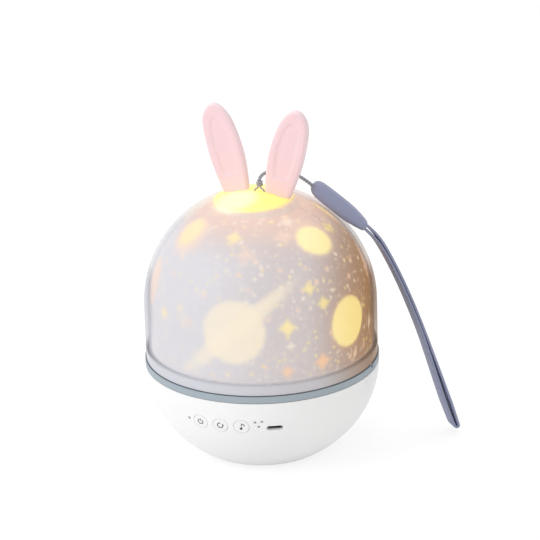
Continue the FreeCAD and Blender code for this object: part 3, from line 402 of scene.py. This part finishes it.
# Each figure: its kind, where it lies (degrees round from the front towards +X, and up from
# the dome's equator), half its width and height in degrees, its tilt, its softness, and its colour.
# The back of the film repeats them.
FIGURES = (
    ("ring", 8.5, 5.3, 40.0, 5.2, 41, 0.40, CREAM, 0.80),
    ("disc", 7.8, 4.5, 16.8, 17.0, 0, 0.14, CREAM, 0.90),
    ("disc", -43.8, 48.3, 12.6, 11.6, 0, 0.35, PEACH, 0.95),
    ("disc", -46.0, 50.1, 8.0, 9.4, 0, 0.45, YELLOW, 0.90),
    ("disc", 69.2, 49.6, 13.7, 12.1, -20, 0.40, PEACH, 0.50),
    ("disc", 69.0, 47.5, 11.0, 8.9, -20, 0.25, SUN, 0.95),
    ("disc", 72.8, 1.2, 14.4, 14.8, 0, 0.25, ORANGE, 0.35),
    ("disc", 73.4, 1.4, 13.0, 13.4, 0, 0.12, SUN, 0.92),
    ("disc", -60.6, 15.7, 11.5, 13.4, 0, 0.30, PEACH, 1.0),
    ("star", 35.5, 6.4, 5.6, 5.8, 0, 0.7, YELLOW, 1.0),
    ("star", 57.2, 15.6, 4.8, 4.4, 0, 0.7, YELLOW, 0.9),
    ("star", 54.3, -14.6, 5.8, 5.4, 0, 0.7, ORANGE, 1.0),
    ("star", 0.5, 53.9, 5.4, 5.4, 0, 0.7, YELLOW, 0.9),
    ("star", 12.4, 44.4, 6.0, 6.4, 0, 0.8, PEACH, 0.8),
    ("star", 43.4, 53.5, 6.8, 6.4, 0, 0.8, PEACH, 0.8),
    ("star", 55.1, 62.5, 6.2, 5.2, 0, 0.8, WHITE_GLOW, 0.7),
    ("star", 50.1, 24.4, 4.6, 4.4, 0, 0.7, YELLOW, 0.9),
    ("star", 34.9, -16.6, 4.0, 4.2, 0, 0.7, ORANGE, 0.9),
    ("star", -37.8, 6.0, 4.2, 4.4, 0, 0.8, YELLOW, 0.9),
    ("star", -24.4, 12.2, 4.0, 4.2, 0, 0.8, PALE_YELLOW, 0.7),
    ("star", -17.9, 6.3, 4.8, 4.8, 0, 0.9, PEACH, 0.6),
    ("star", -2.5, -22.6, 5.2, 4.8, 0, 0.9, PEACH, 0.5),
    ("star", 94.1, 49.0, 5.4, 5.0, 0, 0.7, YELLOW, 0.8),
    ("star", 36.9, -3.5, 3.4, 2.6, 0, 0.7, WHITE_GLOW, 0.9),
    ("star", 97.3, -6.7, 2.9, 6.5, -10, 0.6, WHITE_GLOW, 0.9),
    ("star", 77.9, -17.2, 2.4, 5.0, -25, 0.6, PEACH, 0.9),
)
# Scattered dots: how many to the dome's radius, their size, softness, seed, colour and strength.
DOTS = (
    (8.0, 0.25, 0.75, 3.1, WHITE_GLOW, 0.80),
    (12.0, 0.25, 0.75, 7.7, WHITE_GLOW, 0.65),
    (6.0, 0.24, 0.70, 1.3, PEACH, 0.85),
    (9.5, 0.24, 0.65, 5.9, YELLOW, 0.60),
    (17.0, 0.30, 0.65, 2.3, WHITE_GLOW, 0.45),
)
# The film's two ends overlap in a dark line, this many degrees round from the front.
SEAM_TURN = 94.0
SEAM_HALF = 0.006


def direction_of(round_turn, rise):
    """Unit vector from the dome's middle, from degrees round from the front and degrees up."""
    a, e = math.radians(round_turn), math.radians(rise)
    return Vector((math.sin(a) * math.cos(e), -math.cos(a) * math.cos(e), math.sin(e)))


def dome_shader(name):
    """A material for the dome, with sockets for the direction from its middle, the share to the
    right of the front, and the height above its middle."""
    material = bpy.data.materials.new(name)
    material.use_nodes = True
    tree = material.node_tree
    place = tree.nodes.new("ShaderNodeTexCoord")
    from_middle = vector_step(tree, "SUBTRACT", place.outputs["Object"], DOME_MIDDLE)
    towards = vector_step(tree, "NORMALIZE", from_middle.outputs["Vector"], (0, 0, 0)).outputs["Vector"]
    sideways = vector_step(tree, "DOT_PRODUCT", towards, level_right).outputs["Value"]
    upright = vector_step(tree, "DOT_PRODUCT", towards, (0, 0, 1)).outputs["Value"]
    height = vector_step(tree, "DOT_PRODUCT", place.outputs["Object"], (0, 0, 1)).outputs["Value"]
    return material, tree, tree.nodes["Principled BSDF"], towards, sideways, upright, height


def figure_share(tree, towards, kind, round_turn, rise, half_wide, half_high, tilt, softness):
    """1 inside a figure of light and 0 outside it, with a soft edge."""
    middle = direction_of(round_turn, rise)
    across = Vector((math.cos(math.radians(round_turn)), math.sin(math.radians(round_turn)), 0))
    up = middle.cross(across) * -1 if middle.cross(across).z < 0 else middle.cross(across)
    lean = math.radians(tilt)
    wide = (across * math.cos(lean) + up * math.sin(lean)) / math.sin(math.radians(half_wide))
    high = (up * math.cos(lean) - across * math.sin(lean)) / math.sin(math.radians(half_high))
    u = vector_step(tree, "DOT_PRODUCT", towards, wide).outputs["Value"]
    v = vector_step(tree, "DOT_PRODUCT", towards, high).outputs["Value"]
    power = {"disc": 2.0, "ring": 2.0, "star": 0.8}[kind]
    u = calculate(tree, "POWER", calculate(tree, "ABSOLUTE", u), power)
    v = calculate(tree, "POWER", calculate(tree, "ABSOLUTE", v), power)
    reach = calculate(tree, "POWER", calculate(tree, "ADD", u, v), 1 / power)
    inside = ramp(tree, reach, 1 + softness * 0.5, 1 - softness)
    front = vector_step(tree, "DOT_PRODUCT", towards, middle).outputs["Value"]
    return calculate(tree, "MULTIPLY", inside, calculate(tree, "GREATER_THAN", front, 0.0))


def sprinkled(tree, towards, scale, size, softness, seed):
    """Scattered small dots, of mixed sizes."""
    shift = vector_step(tree, "ADD", towards, (seed, seed * 0.7, seed * 0.3))
    cells = tree.nodes.new("ShaderNodeTexVoronoi")
    cells.inputs["Scale"].default_value = scale
    link(tree, shift.outputs["Vector"], cells.inputs["Vector"])
    return ramp(tree, cells.outputs["Distance"], size, size * (1 - softness))


film_print_and_glow, tree, shader, towards, sideways, upright, _ = dome_shader("star_print_and_painted_glow")
# Painted light and shade: the film's glow is lighter and cooler on the lit left, darker and browner on the
# shaded right, and warmer towards the top.
glow = blended(tree, ramp(tree, sideways, -0.6, 0.3), LIT_LEFT_BACKGROUND, HALF_LIT_MIDDLE_BACKGROUND)
glow = blended(tree, ramp(tree, sideways, 0.3, 1.0), glow, SHADED_RIGHT_BACKGROUND)
glow = blended(tree, ramp(tree, upright, 0.6, 0.92), glow, LAMP_WARMED_TOP_BACKGROUND)
# Painted light: the figures and dots are fainter on the lit left side.
fainter_on_lit_left = ramp(tree, sideways, -0.9, 0.3, 0.78, 1.0)
for scale, size, softness, seed, colour, strength in DOTS:
    share = calculate(tree, "MULTIPLY", sprinkled(tree, towards, scale, size, softness, seed), strength)
    glow = blended(tree, calculate(tree, "MULTIPLY", share, fainter_on_lit_left), glow, colour)
both_sides = [(turn, figure) for turn in (0, 180) for figure in FIGURES]
for turn, (kind, round_turn, rise, wide, high, tilt, softness, colour, strength) in both_sides:
    share = figure_share(tree, towards, kind, round_turn + turn, rise, wide, high, tilt, softness)
    share = calculate(tree, "MULTIPLY", calculate(tree, "MULTIPLY", share, strength), fainter_on_lit_left)
    glow = blended(tree, share, glow, colour)
beside_seam = vector_step(tree, "DOT_PRODUCT", towards, direction_of(SEAM_TURN - 90, 0)).outputs["Value"]
on_seam = ramp(tree, calculate(tree, "ABSOLUTE", beside_seam), SEAM_HALF, SEAM_HALF / 3)
ahead = vector_step(tree, "DOT_PRODUCT", towards, direction_of(SEAM_TURN, 0)).outputs["Value"]
on_seam = calculate(tree, "MULTIPLY", on_seam, calculate(tree, "GREATER_THAN", ahead, 0.0))
glow = blended(tree, on_seam, glow, SEAM_DARK)
link(tree, glow, shader.inputs["Emission Color"])
shader.inputs["Emission Strength"].default_value = 1.0
shader.inputs["Base Color"].default_value = (0.08, 0.08, 0.09, 1)
shader.inputs["Roughness"].default_value = 0.6
smooth_piece("star_film_sheet", "star_film", "film_dome", "film", film_print_and_glow)
dress("film_carrier", plastic("clear_carrier", (0.93, 0.94, 0.95), 0.15, relief=0.02, Alpha=0.25))

# The cover is blow moulded in milky plastic and polished. It lets the figures through, softened.
# The lamp's light on its top, through the film's open mouth, is painted as a warm glowing disc,
# and its sides carry painted light and shade: lighter and cooler on the left, darker and browner on the
# right.
COVER_LIT_LEFT = (0.66, 0.66, 0.71)
COVER_HALF_LIT_MIDDLE = (0.67, 0.65, 0.68)
COVER_SHADED_RIGHT = (0.42, 0.26, 0.15)
COVER_SOLID = 0.34
COVER_SIDE_SOLID = 0.85
COVER_FOOT_SOLID = 0.98
COVER_TOP_SOLID = 0.9
FOOT_CLEAR_Z = 62 * MM
FOOT_SOLID_Z = 57.5 * MM
LAMP_TOP = direction_of(-68, 87.8)
LAMP_CORE = direction_of(-34, 77)
RIM_OUTSIDE = math.cos(math.radians(22))
RIM_INSIDE = math.cos(math.radians(18))
LIT_TOP = (0.62, 0.49, 0.19)
NO_LIGHT = (0.0, 0.0, 0.0)
HALO_LIGHT = (0.20, 0.07, 0.02)
TOP_LIGHT = (0.76, 0.58, 0.15)
CORE_LIGHT = (0.84, 0.78, 0.5)
milky, tree, shader, towards, sideways, upright, height = dome_shader("milky_plastic_painted_light")
# Painted light and shade: the cover's colour goes from lit lavender on the left to shaded brown on the
# right.
painted_light_colour = blended(tree, ramp(tree, sideways, -0.5, 0.4), COVER_LIT_LEFT, COVER_HALF_LIT_MIDDLE)
painted_light_colour = blended(tree, ramp(tree, sideways, 0.35, 0.95), painted_light_colour, COVER_SHADED_RIGHT)
over_lamp = vector_step(tree, "DOT_PRODUCT", towards, LAMP_TOP).outputs["Value"]
lit_top = ramp(tree, over_lamp, RIM_OUTSIDE, RIM_INSIDE)
painted_light_colour = blended(tree, lit_top, painted_light_colour, LIT_TOP)
link(tree, painted_light_colour, shader.inputs["Base Color"])
halo = ramp(tree, upright, 0.70, 0.95)
core = ramp(tree, vector_step(tree, "DOT_PRODUCT", towards, LAMP_CORE).outputs["Value"], 0.972, 0.997)
light = blended(tree, halo, NO_LIGHT, HALO_LIGHT)
light = blended(tree, lit_top, light, TOP_LIGHT)
light = blended(tree, core, light, CORE_LIGHT)
link(tree, light, shader.inputs["Emission Color"])
shader.inputs["Emission Strength"].default_value = 1.0
shader.inputs["Roughness"].default_value = 0.34
shader.inputs["Specular IOR Level"].default_value = 0.12
side_share = calculate(tree, "ABSOLUTE", sideways)
solid_share = ramp(tree, side_share, 0.92, 0.985, COVER_SOLID, COVER_SIDE_SOLID)
low_share = ramp(tree, height, FOOT_CLEAR_Z, FOOT_SOLID_Z, 0.0, COVER_FOOT_SOLID)
solid_share = calculate(tree, "MAXIMUM", solid_share, low_share)
top_share = calculate(tree, "MULTIPLY", lit_top, COVER_TOP_SOLID)
link(tree, calculate(tree, "MAXIMUM", solid_share, top_share), shader.inputs["Alpha"])
smooth_piece("milky_dome", "outer_cover", "cover", "milky_cover", milky)

# The three buttons are moulded in the bowl's white plastic. Each carries a printed mark: the
# power sign, a turning arrow and a note. The ink is a thin raised layer on the button's face.
FACE_OUT = Vector((0, -0.9630, -0.2695))
FACE_UP = Vector((0, -0.2695, 0.9630))
FACE_MIDDLE = Vector((0, -60.572, 35)) * MM
INK = 0.05 * MM
STROKE = 0.52


def arc_line(radius, start, end, middle=(0, 0), count=40):
    """Points on an arc, from degrees to degrees, counted from the right and upwards."""
    turns = [math.radians(start + (end - start) * i / (count - 1)) for i in range(count)]
    return [(middle[0] + radius * math.cos(t), middle[1] + radius * math.sin(t)) for t in turns]


def stroke_outline(line, width):
    """Pairs of points beside a line, half a stroke to each side."""
    pairs = []
    for i, (x, y) in enumerate(line):
        before, after = line[max(i - 1, 0)], line[min(i + 1, len(line) - 1)]
        along = Vector((after[0] - before[0], after[1] - before[1])).normalized() * width / 2
        pairs.append(((x - along.y, y + along.x), (x + along.y, y - along.x)))
    return pairs


def printed_mark(name, key, across, strokes, material):
    """Ink strokes laid on a button's face, each a row of point pairs in millimetres."""
    cap = node[f"{key}_button"].data
    face = BVHTree.FromPolygons([v.co for v in cap.vertices], [p.vertices[:] for p in cap.polygons])
    vertices, faces = [], []
    for pairs in strokes:
        first = len(vertices)
        for pair in pairs:
            for x, y in pair:
                above = FACE_MIDDLE + FACE_UP * y * MM + FACE_OUT * 8 * MM
                above.x = (across + x) * MM
                hit, normal, _, _ = face.ray_cast(above, -FACE_OUT)
                vertices.extend((hit + FACE_OUT * INK, hit - FACE_OUT * INK))
        for i in range(len(pairs) - 1):
            a = first + 4 * i
            faces.extend(((a, a + 2, a + 6, a + 4), (a + 1, a + 5, a + 7, a + 3)))
            faces.extend(((a, a + 4, a + 5, a + 1), (a + 2, a + 3, a + 7, a + 6)))
        last = first + 4 * (len(pairs) - 1)
        faces.extend(((first, first + 1, first + 3, first + 2), (last, last + 2, last + 3, last + 1)))
    mesh = bpy.data.meshes.new(name)
    mesh.from_pydata(vertices, [], faces)
    return finished(name, mesh, f"{key}_key", "button", material)


ink = plastic("grey_ink", (0.05, 0.052, 0.06), 0.6, relief=0.03)
power_strokes = [
    stroke_outline(arc_line(1.45, 128, 412), STROKE),
    stroke_outline([(0, 0.45), (0, 1.1), (0, 2.0)], STROKE),
]
rotate_strokes = [
    stroke_outline(arc_line(1.5, 75, 372), STROKE),
    [((1.0, 0.25), (1.0, 0.25)), ((1.48, 1.1), (2.1, 0.1))],
]
note_strokes = [
    [((0.02, -1.3), (0.4, -1.3)), ((0.02, 2.0), (0.4, 2.0))],
    [((x, y), (2 * -0.3 - x, y)) for x, y in arc_line(0.72, -88, 88, (-0.3, -1.3), 14)],
    stroke_outline(arc_line(1.5, 88, 0, (0.2, 0.35), 14), 0.45),
]
for key, across, strokes in (
    ("power", -11.45, power_strokes),
    ("rotate", 0.0, rotate_strokes),
    ("music", 11.45, note_strokes),
):
    smooth_piece(f"{key}_cap", f"{key}_button", f"{key}_key", "button", white_abs)
    printed_mark(f"{key}_mark", key, across, strokes, ink)

# The ears are cast in soft pink silicone, with a shallow dish in front. Each stands on the
# cover on a barbed peg that is pulled through a hole.
EAR_VOXEL = 0.45 * MM
EAR_SOFTNESS = 9
EAR_PALE = (0.95, 0.745, 0.765)
EAR_DISH_SHADE = (0.93, 0.67, 0.70)


def soft_piece(name, cad_node, body, slot, material, voxel, softness):
    """A CAD node's shape in an even, relaxed mesh, so that its edges are as round as cast silicone."""
    shape = bmesh.new()
    shape.from_mesh(node[cad_node].data)
    bmesh.ops.remove_doubles(shape, verts=shape.verts, dist=0.002 * MM)
    start = bpy.data.meshes.new(name)
    shape.to_mesh(start)
    shape.free()
    holder = bpy.data.objects.new(name + "_start", start)
    bpy.context.scene.collection.objects.link(holder)
    even = holder.modifiers.new("even", "REMESH")
    even.mode = "VOXEL"
    even.voxel_size = voxel
    relaxed = holder.modifiers.new("relaxed", "SMOOTH")
    relaxed.iterations = softness
    mesh = evaluated_mesh(holder)
    return finished(name, mesh, body, slot, material, 180, cad_node)


def evaluated_mesh(holder):
    """The mesh that an object's modifiers make. The object itself is removed."""
    bpy.context.view_layer.update()
    graph = bpy.context.evaluated_depsgraph_get()
    mesh = bpy.data.meshes.new_from_object(holder.evaluated_get(graph))
    bpy.data.objects.remove(holder)
    return mesh


pink_silicone = plastic("pink_silicone", EAR_PALE, 0.6, relief=0.08, mottle=0.015)
tree = pink_silicone.node_tree
shader = tree.nodes["Principled BSDF"]
under = shader.inputs["Base Color"].links[0].from_socket
place = tree.nodes.new("ShaderNodeTexCoord")
depth = vector_step(tree, "DOT_PRODUCT", place.outputs["Object"], (0, 1, 0)).outputs["Value"]
facing = vector_step(tree, "DOT_PRODUCT", place.outputs["Normal"], (0, -1, 0)).outputs["Value"]
front_y = min(v.co.y for v in node["ear_left"].data.vertices)
# Painted shade: the dish in front is a darker pink, as shade in the recess.
dish = ramp(tree, depth, front_y + 0.3 * MM, front_y + 0.9 * MM)
dish = calculate(tree, "MULTIPLY", dish, ramp(tree, facing, 0.6, 0.95))
link(tree, blended(tree, dish, under, EAR_DISH_SHADE), shader.inputs["Base Color"])
shader.inputs["Subsurface Weight"].default_value = 0.15
shader.inputs["Subsurface Radius"].default_value = (0.004, 0.002, 0.0015)
for side in ("left", "right"):
    soft_piece(
        f"{side}_rabbit_ear", f"ear_{side}", "cover", "pink_ear", pink_silicone, EAR_VOXEL, EAR_SOFTNESS
    )

# The lanyard's cord is laid from two grey yarns. It loops through the top of the cover, is
# knotted there, and runs behind the right ear.
CORD_ROUTE = (
    (0.0014, -0.0005, 0.1493),
    (0.0014, -0.0005, 0.1510),
    (0.0032, 0.0034, 0.1530),
    (0.0082, 0.0066, 0.1537),
    (0.0144, 0.0080, 0.1531),
    (0.02081, 0.01015, 0.15025),
    (0.02616, 0.01276, 0.14489),
)
CORD_WIDTH = 2.0 * MM
YARN_R = 0.52 * MM
LAY_LENGTH = 3.2 * MM
CORD_SHARP = 50


def route_points(name, points, count):
    """Points along the NURBS spline that has these control points."""
    line = bpy.data.curves.new(name, "CURVE")
    line.dimensions = "3D"
    line.resolution_u = count
    spline = line.splines.new("NURBS")
    spline.points.add(len(points) - 1)
    for point, place in zip(spline.points, points):
        point.co = (*place, 1)
    spline.order_u = 3
    spline.use_endpoint_u = True
    holder = bpy.data.objects.new(name, line)
    mesh = bpy.data.meshes.new_from_object(holder)
    followed = [v.co.copy() for v in mesh.vertices]
    bpy.data.objects.remove(holder)
    return followed


def yarn_group():
    """A node group that lays several yarns around a line, like a twisted cord."""
    group = bpy.data.node_groups.new("twisted_yarns", "GeometryNodeTree")
    socket = group.interface.new_socket
    socket("Line", in_out="INPUT", socket_type="NodeSocketGeometry")
    socket("Yarns", in_out="INPUT", socket_type="NodeSocketInt")
    socket("Lay Radius", in_out="INPUT", socket_type="NodeSocketFloat")
    socket("Yarn Radius", in_out="INPUT", socket_type="NodeSocketFloat")
    socket("Lay Length", in_out="INPUT", socket_type="NodeSocketFloat")
    socket("Step", in_out="INPUT", socket_type="NodeSocketFloat")
    socket("Material", in_out="INPUT", socket_type="NodeSocketMaterial")
    socket("Cord", in_out="OUTPUT", socket_type="NodeSocketGeometry")

    def add(kind, **settings):
        made = group.nodes.new(kind)
        for key, value in settings.items():
            setattr(made, key, value)
        return made

    def math_of(operation, first, second=None):
        made = add("ShaderNodeMath", operation=operation)
        for socket_index, value in enumerate((first, second)):
            if isinstance(value, (int, float)):
                made.inputs[socket_index].default_value = value
            elif value is not None:
                group.links.new(value, made.inputs[socket_index])
        return made.outputs[0]

    def scaled(vector, factor):
        made = add("ShaderNodeVectorMath", operation="SCALE")
        group.links.new(vector, made.inputs[0])
        group.links.new(factor, made.inputs["Scale"])
        return made.outputs[0]

    start = add("NodeGroupInput")
    line = add("GeometryNodeMeshToCurve")
    group.links.new(start.outputs["Line"], line.inputs["Mesh"])
    even = add("GeometryNodeResampleCurve", mode="LENGTH")
    group.links.new(line.outputs["Curve"], even.inputs["Curve"])
    group.links.new(start.outputs["Step"], even.inputs["Length"])
    copies = add("GeometryNodeDuplicateElements", domain="SPLINE")
    group.links.new(even.outputs["Curve"], copies.inputs["Geometry"])
    group.links.new(start.outputs["Yarns"], copies.inputs["Amount"])
    place = add("GeometryNodeSplineParameter")
    turns = math_of("DIVIDE", place.outputs["Length"], start.outputs["Lay Length"])
    own = math_of("DIVIDE", copies.outputs["Duplicate Index"], start.outputs["Yarns"])
    angle = math_of("MULTIPLY", math_of("ADD", turns, own), 2 * math.pi)
    normal = add("GeometryNodeInputNormal")
    tangent = add("GeometryNodeInputTangent")
    side = add("ShaderNodeVectorMath", operation="CROSS_PRODUCT")
    group.links.new(tangent.outputs[0], side.inputs[0])
    group.links.new(normal.outputs[0], side.inputs[1])
    lay_radius = start.outputs["Lay Radius"]
    out = scaled(normal.outputs[0], math_of("MULTIPLY", math_of("COSINE", angle), lay_radius))
    beside = scaled(side.outputs[0], math_of("MULTIPLY", math_of("SINE", angle), lay_radius))
    offset = add("ShaderNodeVectorMath", operation="ADD")
    group.links.new(out, offset.inputs[0])
    group.links.new(beside, offset.inputs[1])
    moved = add("GeometryNodeSetPosition")
    group.links.new(copies.outputs["Geometry"], moved.inputs["Geometry"])
    group.links.new(offset.outputs[0], moved.inputs["Offset"])
    ring = add("GeometryNodeCurvePrimitiveCircle", mode="RADIUS")
    ring.inputs["Resolution"].default_value = 10
    group.links.new(start.outputs["Yarn Radius"], ring.inputs["Radius"])
    tube = add("GeometryNodeCurveToMesh")
    tube.inputs["Fill Caps"].default_value = True
    group.links.new(moved.outputs["Geometry"], tube.inputs["Curve"])
    group.links.new(ring.outputs["Curve"], tube.inputs["Profile Curve"])
    real = add("GeometryNodeRealizeInstances")
    group.links.new(tube.outputs["Mesh"], real.inputs["Geometry"])
    dyed = add("GeometryNodeSetMaterial")
    group.links.new(real.outputs["Geometry"], dyed.inputs["Geometry"])
    group.links.new(start.outputs["Material"], dyed.inputs["Material"])
    end = add("NodeGroupOutput")
    group.links.new(dyed.outputs["Geometry"], end.inputs["Cord"])
    return group


def grown(name, start, group, values):
    """The mesh that a node group makes from a start mesh and the values of its inputs."""
    holder = bpy.data.objects.new(name + "_start", start)
    bpy.context.scene.collection.objects.link(holder)
    maker = holder.modifiers.new("grown", "NODES")
    maker.node_group = group
    for item in group.interface.items_tree:
        if item.item_type == "SOCKET" and item.in_out == "INPUT" and item.name in values:
            maker[item.identifier] = values[item.name]
    return evaluated_mesh(holder)


def line_mesh(name, points, closed=False):
    """A mesh of edges through the points, open or closed."""
    edges = [(i, i + 1) for i in range(len(points) - 1)]
    if closed:
        edges.append((len(points) - 1, 0))
    mesh = bpy.data.meshes.new(name)
    mesh.from_pydata([tuple(p) for p in points], edges, [])
    return mesh


def laid_cord(name, points, closed=False):
    """Two yarns laid around a line of points."""
    values = {
        "Yarns": 2,
        "Lay Radius": CORD_WIDTH / 2 - YARN_R,
        "Yarn Radius": YARN_R,
        "Lay Length": LAY_LENGTH,
        "Step": 0.3 * MM,
        "Material": cord_yarn,
    }
    return grown(name, line_mesh(name + "_line", points, closed), yarns, values)


yarns = yarn_group()
cord_yarn = plastic("cord_yarn", (0.36, 0.37, 0.42), 0.85, 2200, 0.4)
cord_line = route_points("cord_line", CORD_ROUTE, 24)
cord_piece = finished(
    "lanyard_cord_shown",
    laid_cord("lanyard_cord_shown", cord_line),
    "cover", "cord", cord_yarn, CORD_SHARP, "lanyard_cord",
)
# The knot is a closed trefoil of the same cord.
KNOT_MIDDLE = Vector((1.4, -0.5, 147.95)) * MM
KNOT_SPREAD = 0.36 * MM
KNOT_RISE = 0.78 * MM
KNOT_STEPS = 72
knot_line = []
for i in range(KNOT_STEPS):
    t = 2 * math.pi * i / KNOT_STEPS
    across = math.sin(t) + 2 * math.sin(2 * t)
    along = math.cos(t) - 2 * math.cos(2 * t)
    knot_line.append(
        KNOT_MIDDLE + Vector((across * KNOT_SPREAD, along * KNOT_SPREAD, -math.sin(3 * t) * KNOT_RISE))
    )
finished(
    "lanyard_knot_shown",
    laid_cord("lanyard_knot_shown", knot_line, True),
    "cover", "cord", cord_yarn, CORD_SHARP, "lanyard_knot",
)
smooth_piece("lanyard_loop_shown", "lanyard_loop", "cover", "cord", cord_yarn, 60)

# The sleeve is a soft blue-grey rubber bullet moulded over the cord's end. Its mouth grips the
# two ends of a folded rubber band, the loop that the light is carried by.
LANYARD_TURN = math.radians(26)
BAND_TWIST = math.radians(15)
plane_out = Vector((math.cos(LANYARD_TURN), math.sin(LANYARD_TURN), 0))
plane_normal = Vector((-math.sin(LANYARD_TURN), math.cos(LANYARD_TURN), 0))
band_across = (-plane_normal * math.cos(BAND_TWIST) + plane_out * math.sin(BAND_TWIST)).normalized()
SLEEVE_HEAD = Vector((26.156, 12.757, 144.894)) * MM
SLEEVE_AXIS = Vector((0.66793, 0.32577, -0.66913)).normalized()
SLEEVE_SHIFT = 0.45 * MM
# How far along the sleeve, then half its thickness and half its width there.
SLEEVE_RINGS = (
    (0.0, 1.3, 1.5), (0.25, 2.0, 2.6), (0.9, 2.9, 3.7), (2.2, 3.7, 4.7), (4.5, 4.2, 5.4), (8.0, 4.35, 5.8),
    (14.0, 4.4, 6.0), (22.0, 4.4, 6.0), (27.0, 4.1, 5.8), (31.0, 3.5, 5.5), (34.5, 2.85, 5.15),
    (35.7, 2.5, 4.95), (36.0, 2.2, 4.8), (35.6, 2.0, 4.75), (33.5, 1.9, 4.7),
)
# The band's middle line, as distances out from the light's axis and up from the table.
BAND_ROUTE = (
    (54.7, 122.2), (60.6, 116.9), (66.4, 107.3), (75.4, 87.7), (84.5, 63.5), (91.2, 42.6), (98.5, 19.0),
    (103.2, 4.6),
)
# How far along the band, as a share, and half the way between its two layers' middles there.
BAND_GAPS = (
    (0.0, 1.12), (0.04, 1.10), (0.10, 0.92), (0.17, 0.80), (0.3, 0.78), (0.55, 0.78), (0.66, 0.95),
    (0.78, 1.25), (0.90, 1.5), (1.0, 1.1),
)
BAND_HALF_WIDTH = 4.75 * MM
BAND_HALF_THICK = 0.75 * MM
BAND_SQUARENESS = 6
SLEEVE_SQUARENESS = 2.8
FOLD_STEPS = 14


def lofted(name, rings):
    """A closed skin through rings of points, with a flat cap at each end."""
    count = len(rings[0])
    vertices = [tuple(p) for ring in rings for p in ring]
    faces = [tuple(range(count))[::-1], tuple(range(len(vertices) - count, len(vertices)))]
    for i in range(len(rings) - 1):
        for j in range(count):
            a, b = i * count + j, i * count + (j + 1) % count
            faces.append((a, b, b + count, a + count))
    mesh = bpy.data.meshes.new(name)
    mesh.from_pydata(vertices, [], faces)
    shape = bmesh.new()
    shape.from_mesh(mesh)
    bmesh.ops.recalc_face_normals(shape, faces=shape.faces)
    shape.to_mesh(mesh)
    shape.free()
    return mesh


def rounded_ring(middle, wide, high, squareness, count=40):
    """A rounded rectangle around a point, from its two half sizes as vectors."""
    ring = []
    for i in range(count):
        t = 2 * math.pi * i / count
        c, s = math.cos(t), math.sin(t)
        x = math.copysign(abs(c) ** (2 / squareness), c)
        y = math.copysign(abs(s) ** (2 / squareness), s)
        ring.append(middle + wide * x + high * y)
    return ring


band_rubber = plastic("band_rubber", (0.285, 0.31, 0.455), 0.5, relief=0.1, mottle=0.03)
sleeve_out = SLEEVE_AXIS.cross(plane_normal).normalized()
sleeve_out = sleeve_out if sleeve_out.z > 0 else -sleeve_out
sleeve_rings = []
for along, thick, wide in SLEEVE_RINGS:
    middle = SLEEVE_HEAD + SLEEVE_AXIS * along * MM + sleeve_out * SLEEVE_SHIFT
    half_wide, half_thick = plane_normal * wide * MM, sleeve_out * thick * MM
    sleeve_rings.append(rounded_ring(middle, half_wide, half_thick, SLEEVE_SQUARENESS))
sleeve_piece = finished(
    "lanyard_sleeve_shown",
    lofted("lanyard_sleeve_shown", sleeve_rings),
    "cover", "sleeve", band_rubber, 40, "lanyard_sleeve",
)
band_route = [tuple((plane_out * x + Vector((0, 0, z))) * MM) for x, z in BAND_ROUTE]
band_line = route_points("band_line", band_route, 12)
reached = [0.0]
for first, second in zip(band_line, band_line[1:]):
    reached.append(reached[-1] + (second - first).length)
band_length = reached[-1]
stops, half_gaps = zip(*BAND_GAPS)
sides = []
for i, middle in enumerate(band_line):
    before, after = band_line[max(i - 1, 0)], band_line[min(i + 1, len(band_line) - 1)]
    along = (after - before).normalized()
    outward = along.cross(plane_normal).normalized()
    sides.append((middle, outward, along, float(np.interp(reached[i] / band_length, stops, half_gaps)) * MM))
band_rings = []


def add_band_ring(middle, away, gap):
    """One section of the band, out from the middle line by the gap."""
    wide = band_across * BAND_HALF_WIDTH
    band_rings.append(rounded_ring(middle + away * gap, wide, away * BAND_HALF_THICK, BAND_SQUARENESS))


for middle, outward, _, gap in sides:
    add_band_ring(middle, outward, gap)
middle, outward, along, gap = sides[-1]
for i in range(1, FOLD_STEPS):
    t = math.pi * i / FOLD_STEPS
    add_band_ring(middle, outward * math.cos(t) + along * math.sin(t), gap)
for middle, outward, _, gap in reversed(sides):
    add_band_ring(middle, -outward, gap)
band_piece = finished(
    "lanyard_strap_shown",
    lofted("lanyard_strap_shown", band_rings),
    "cover", "strap", band_rubber, 50, "lanyard_strap",
)
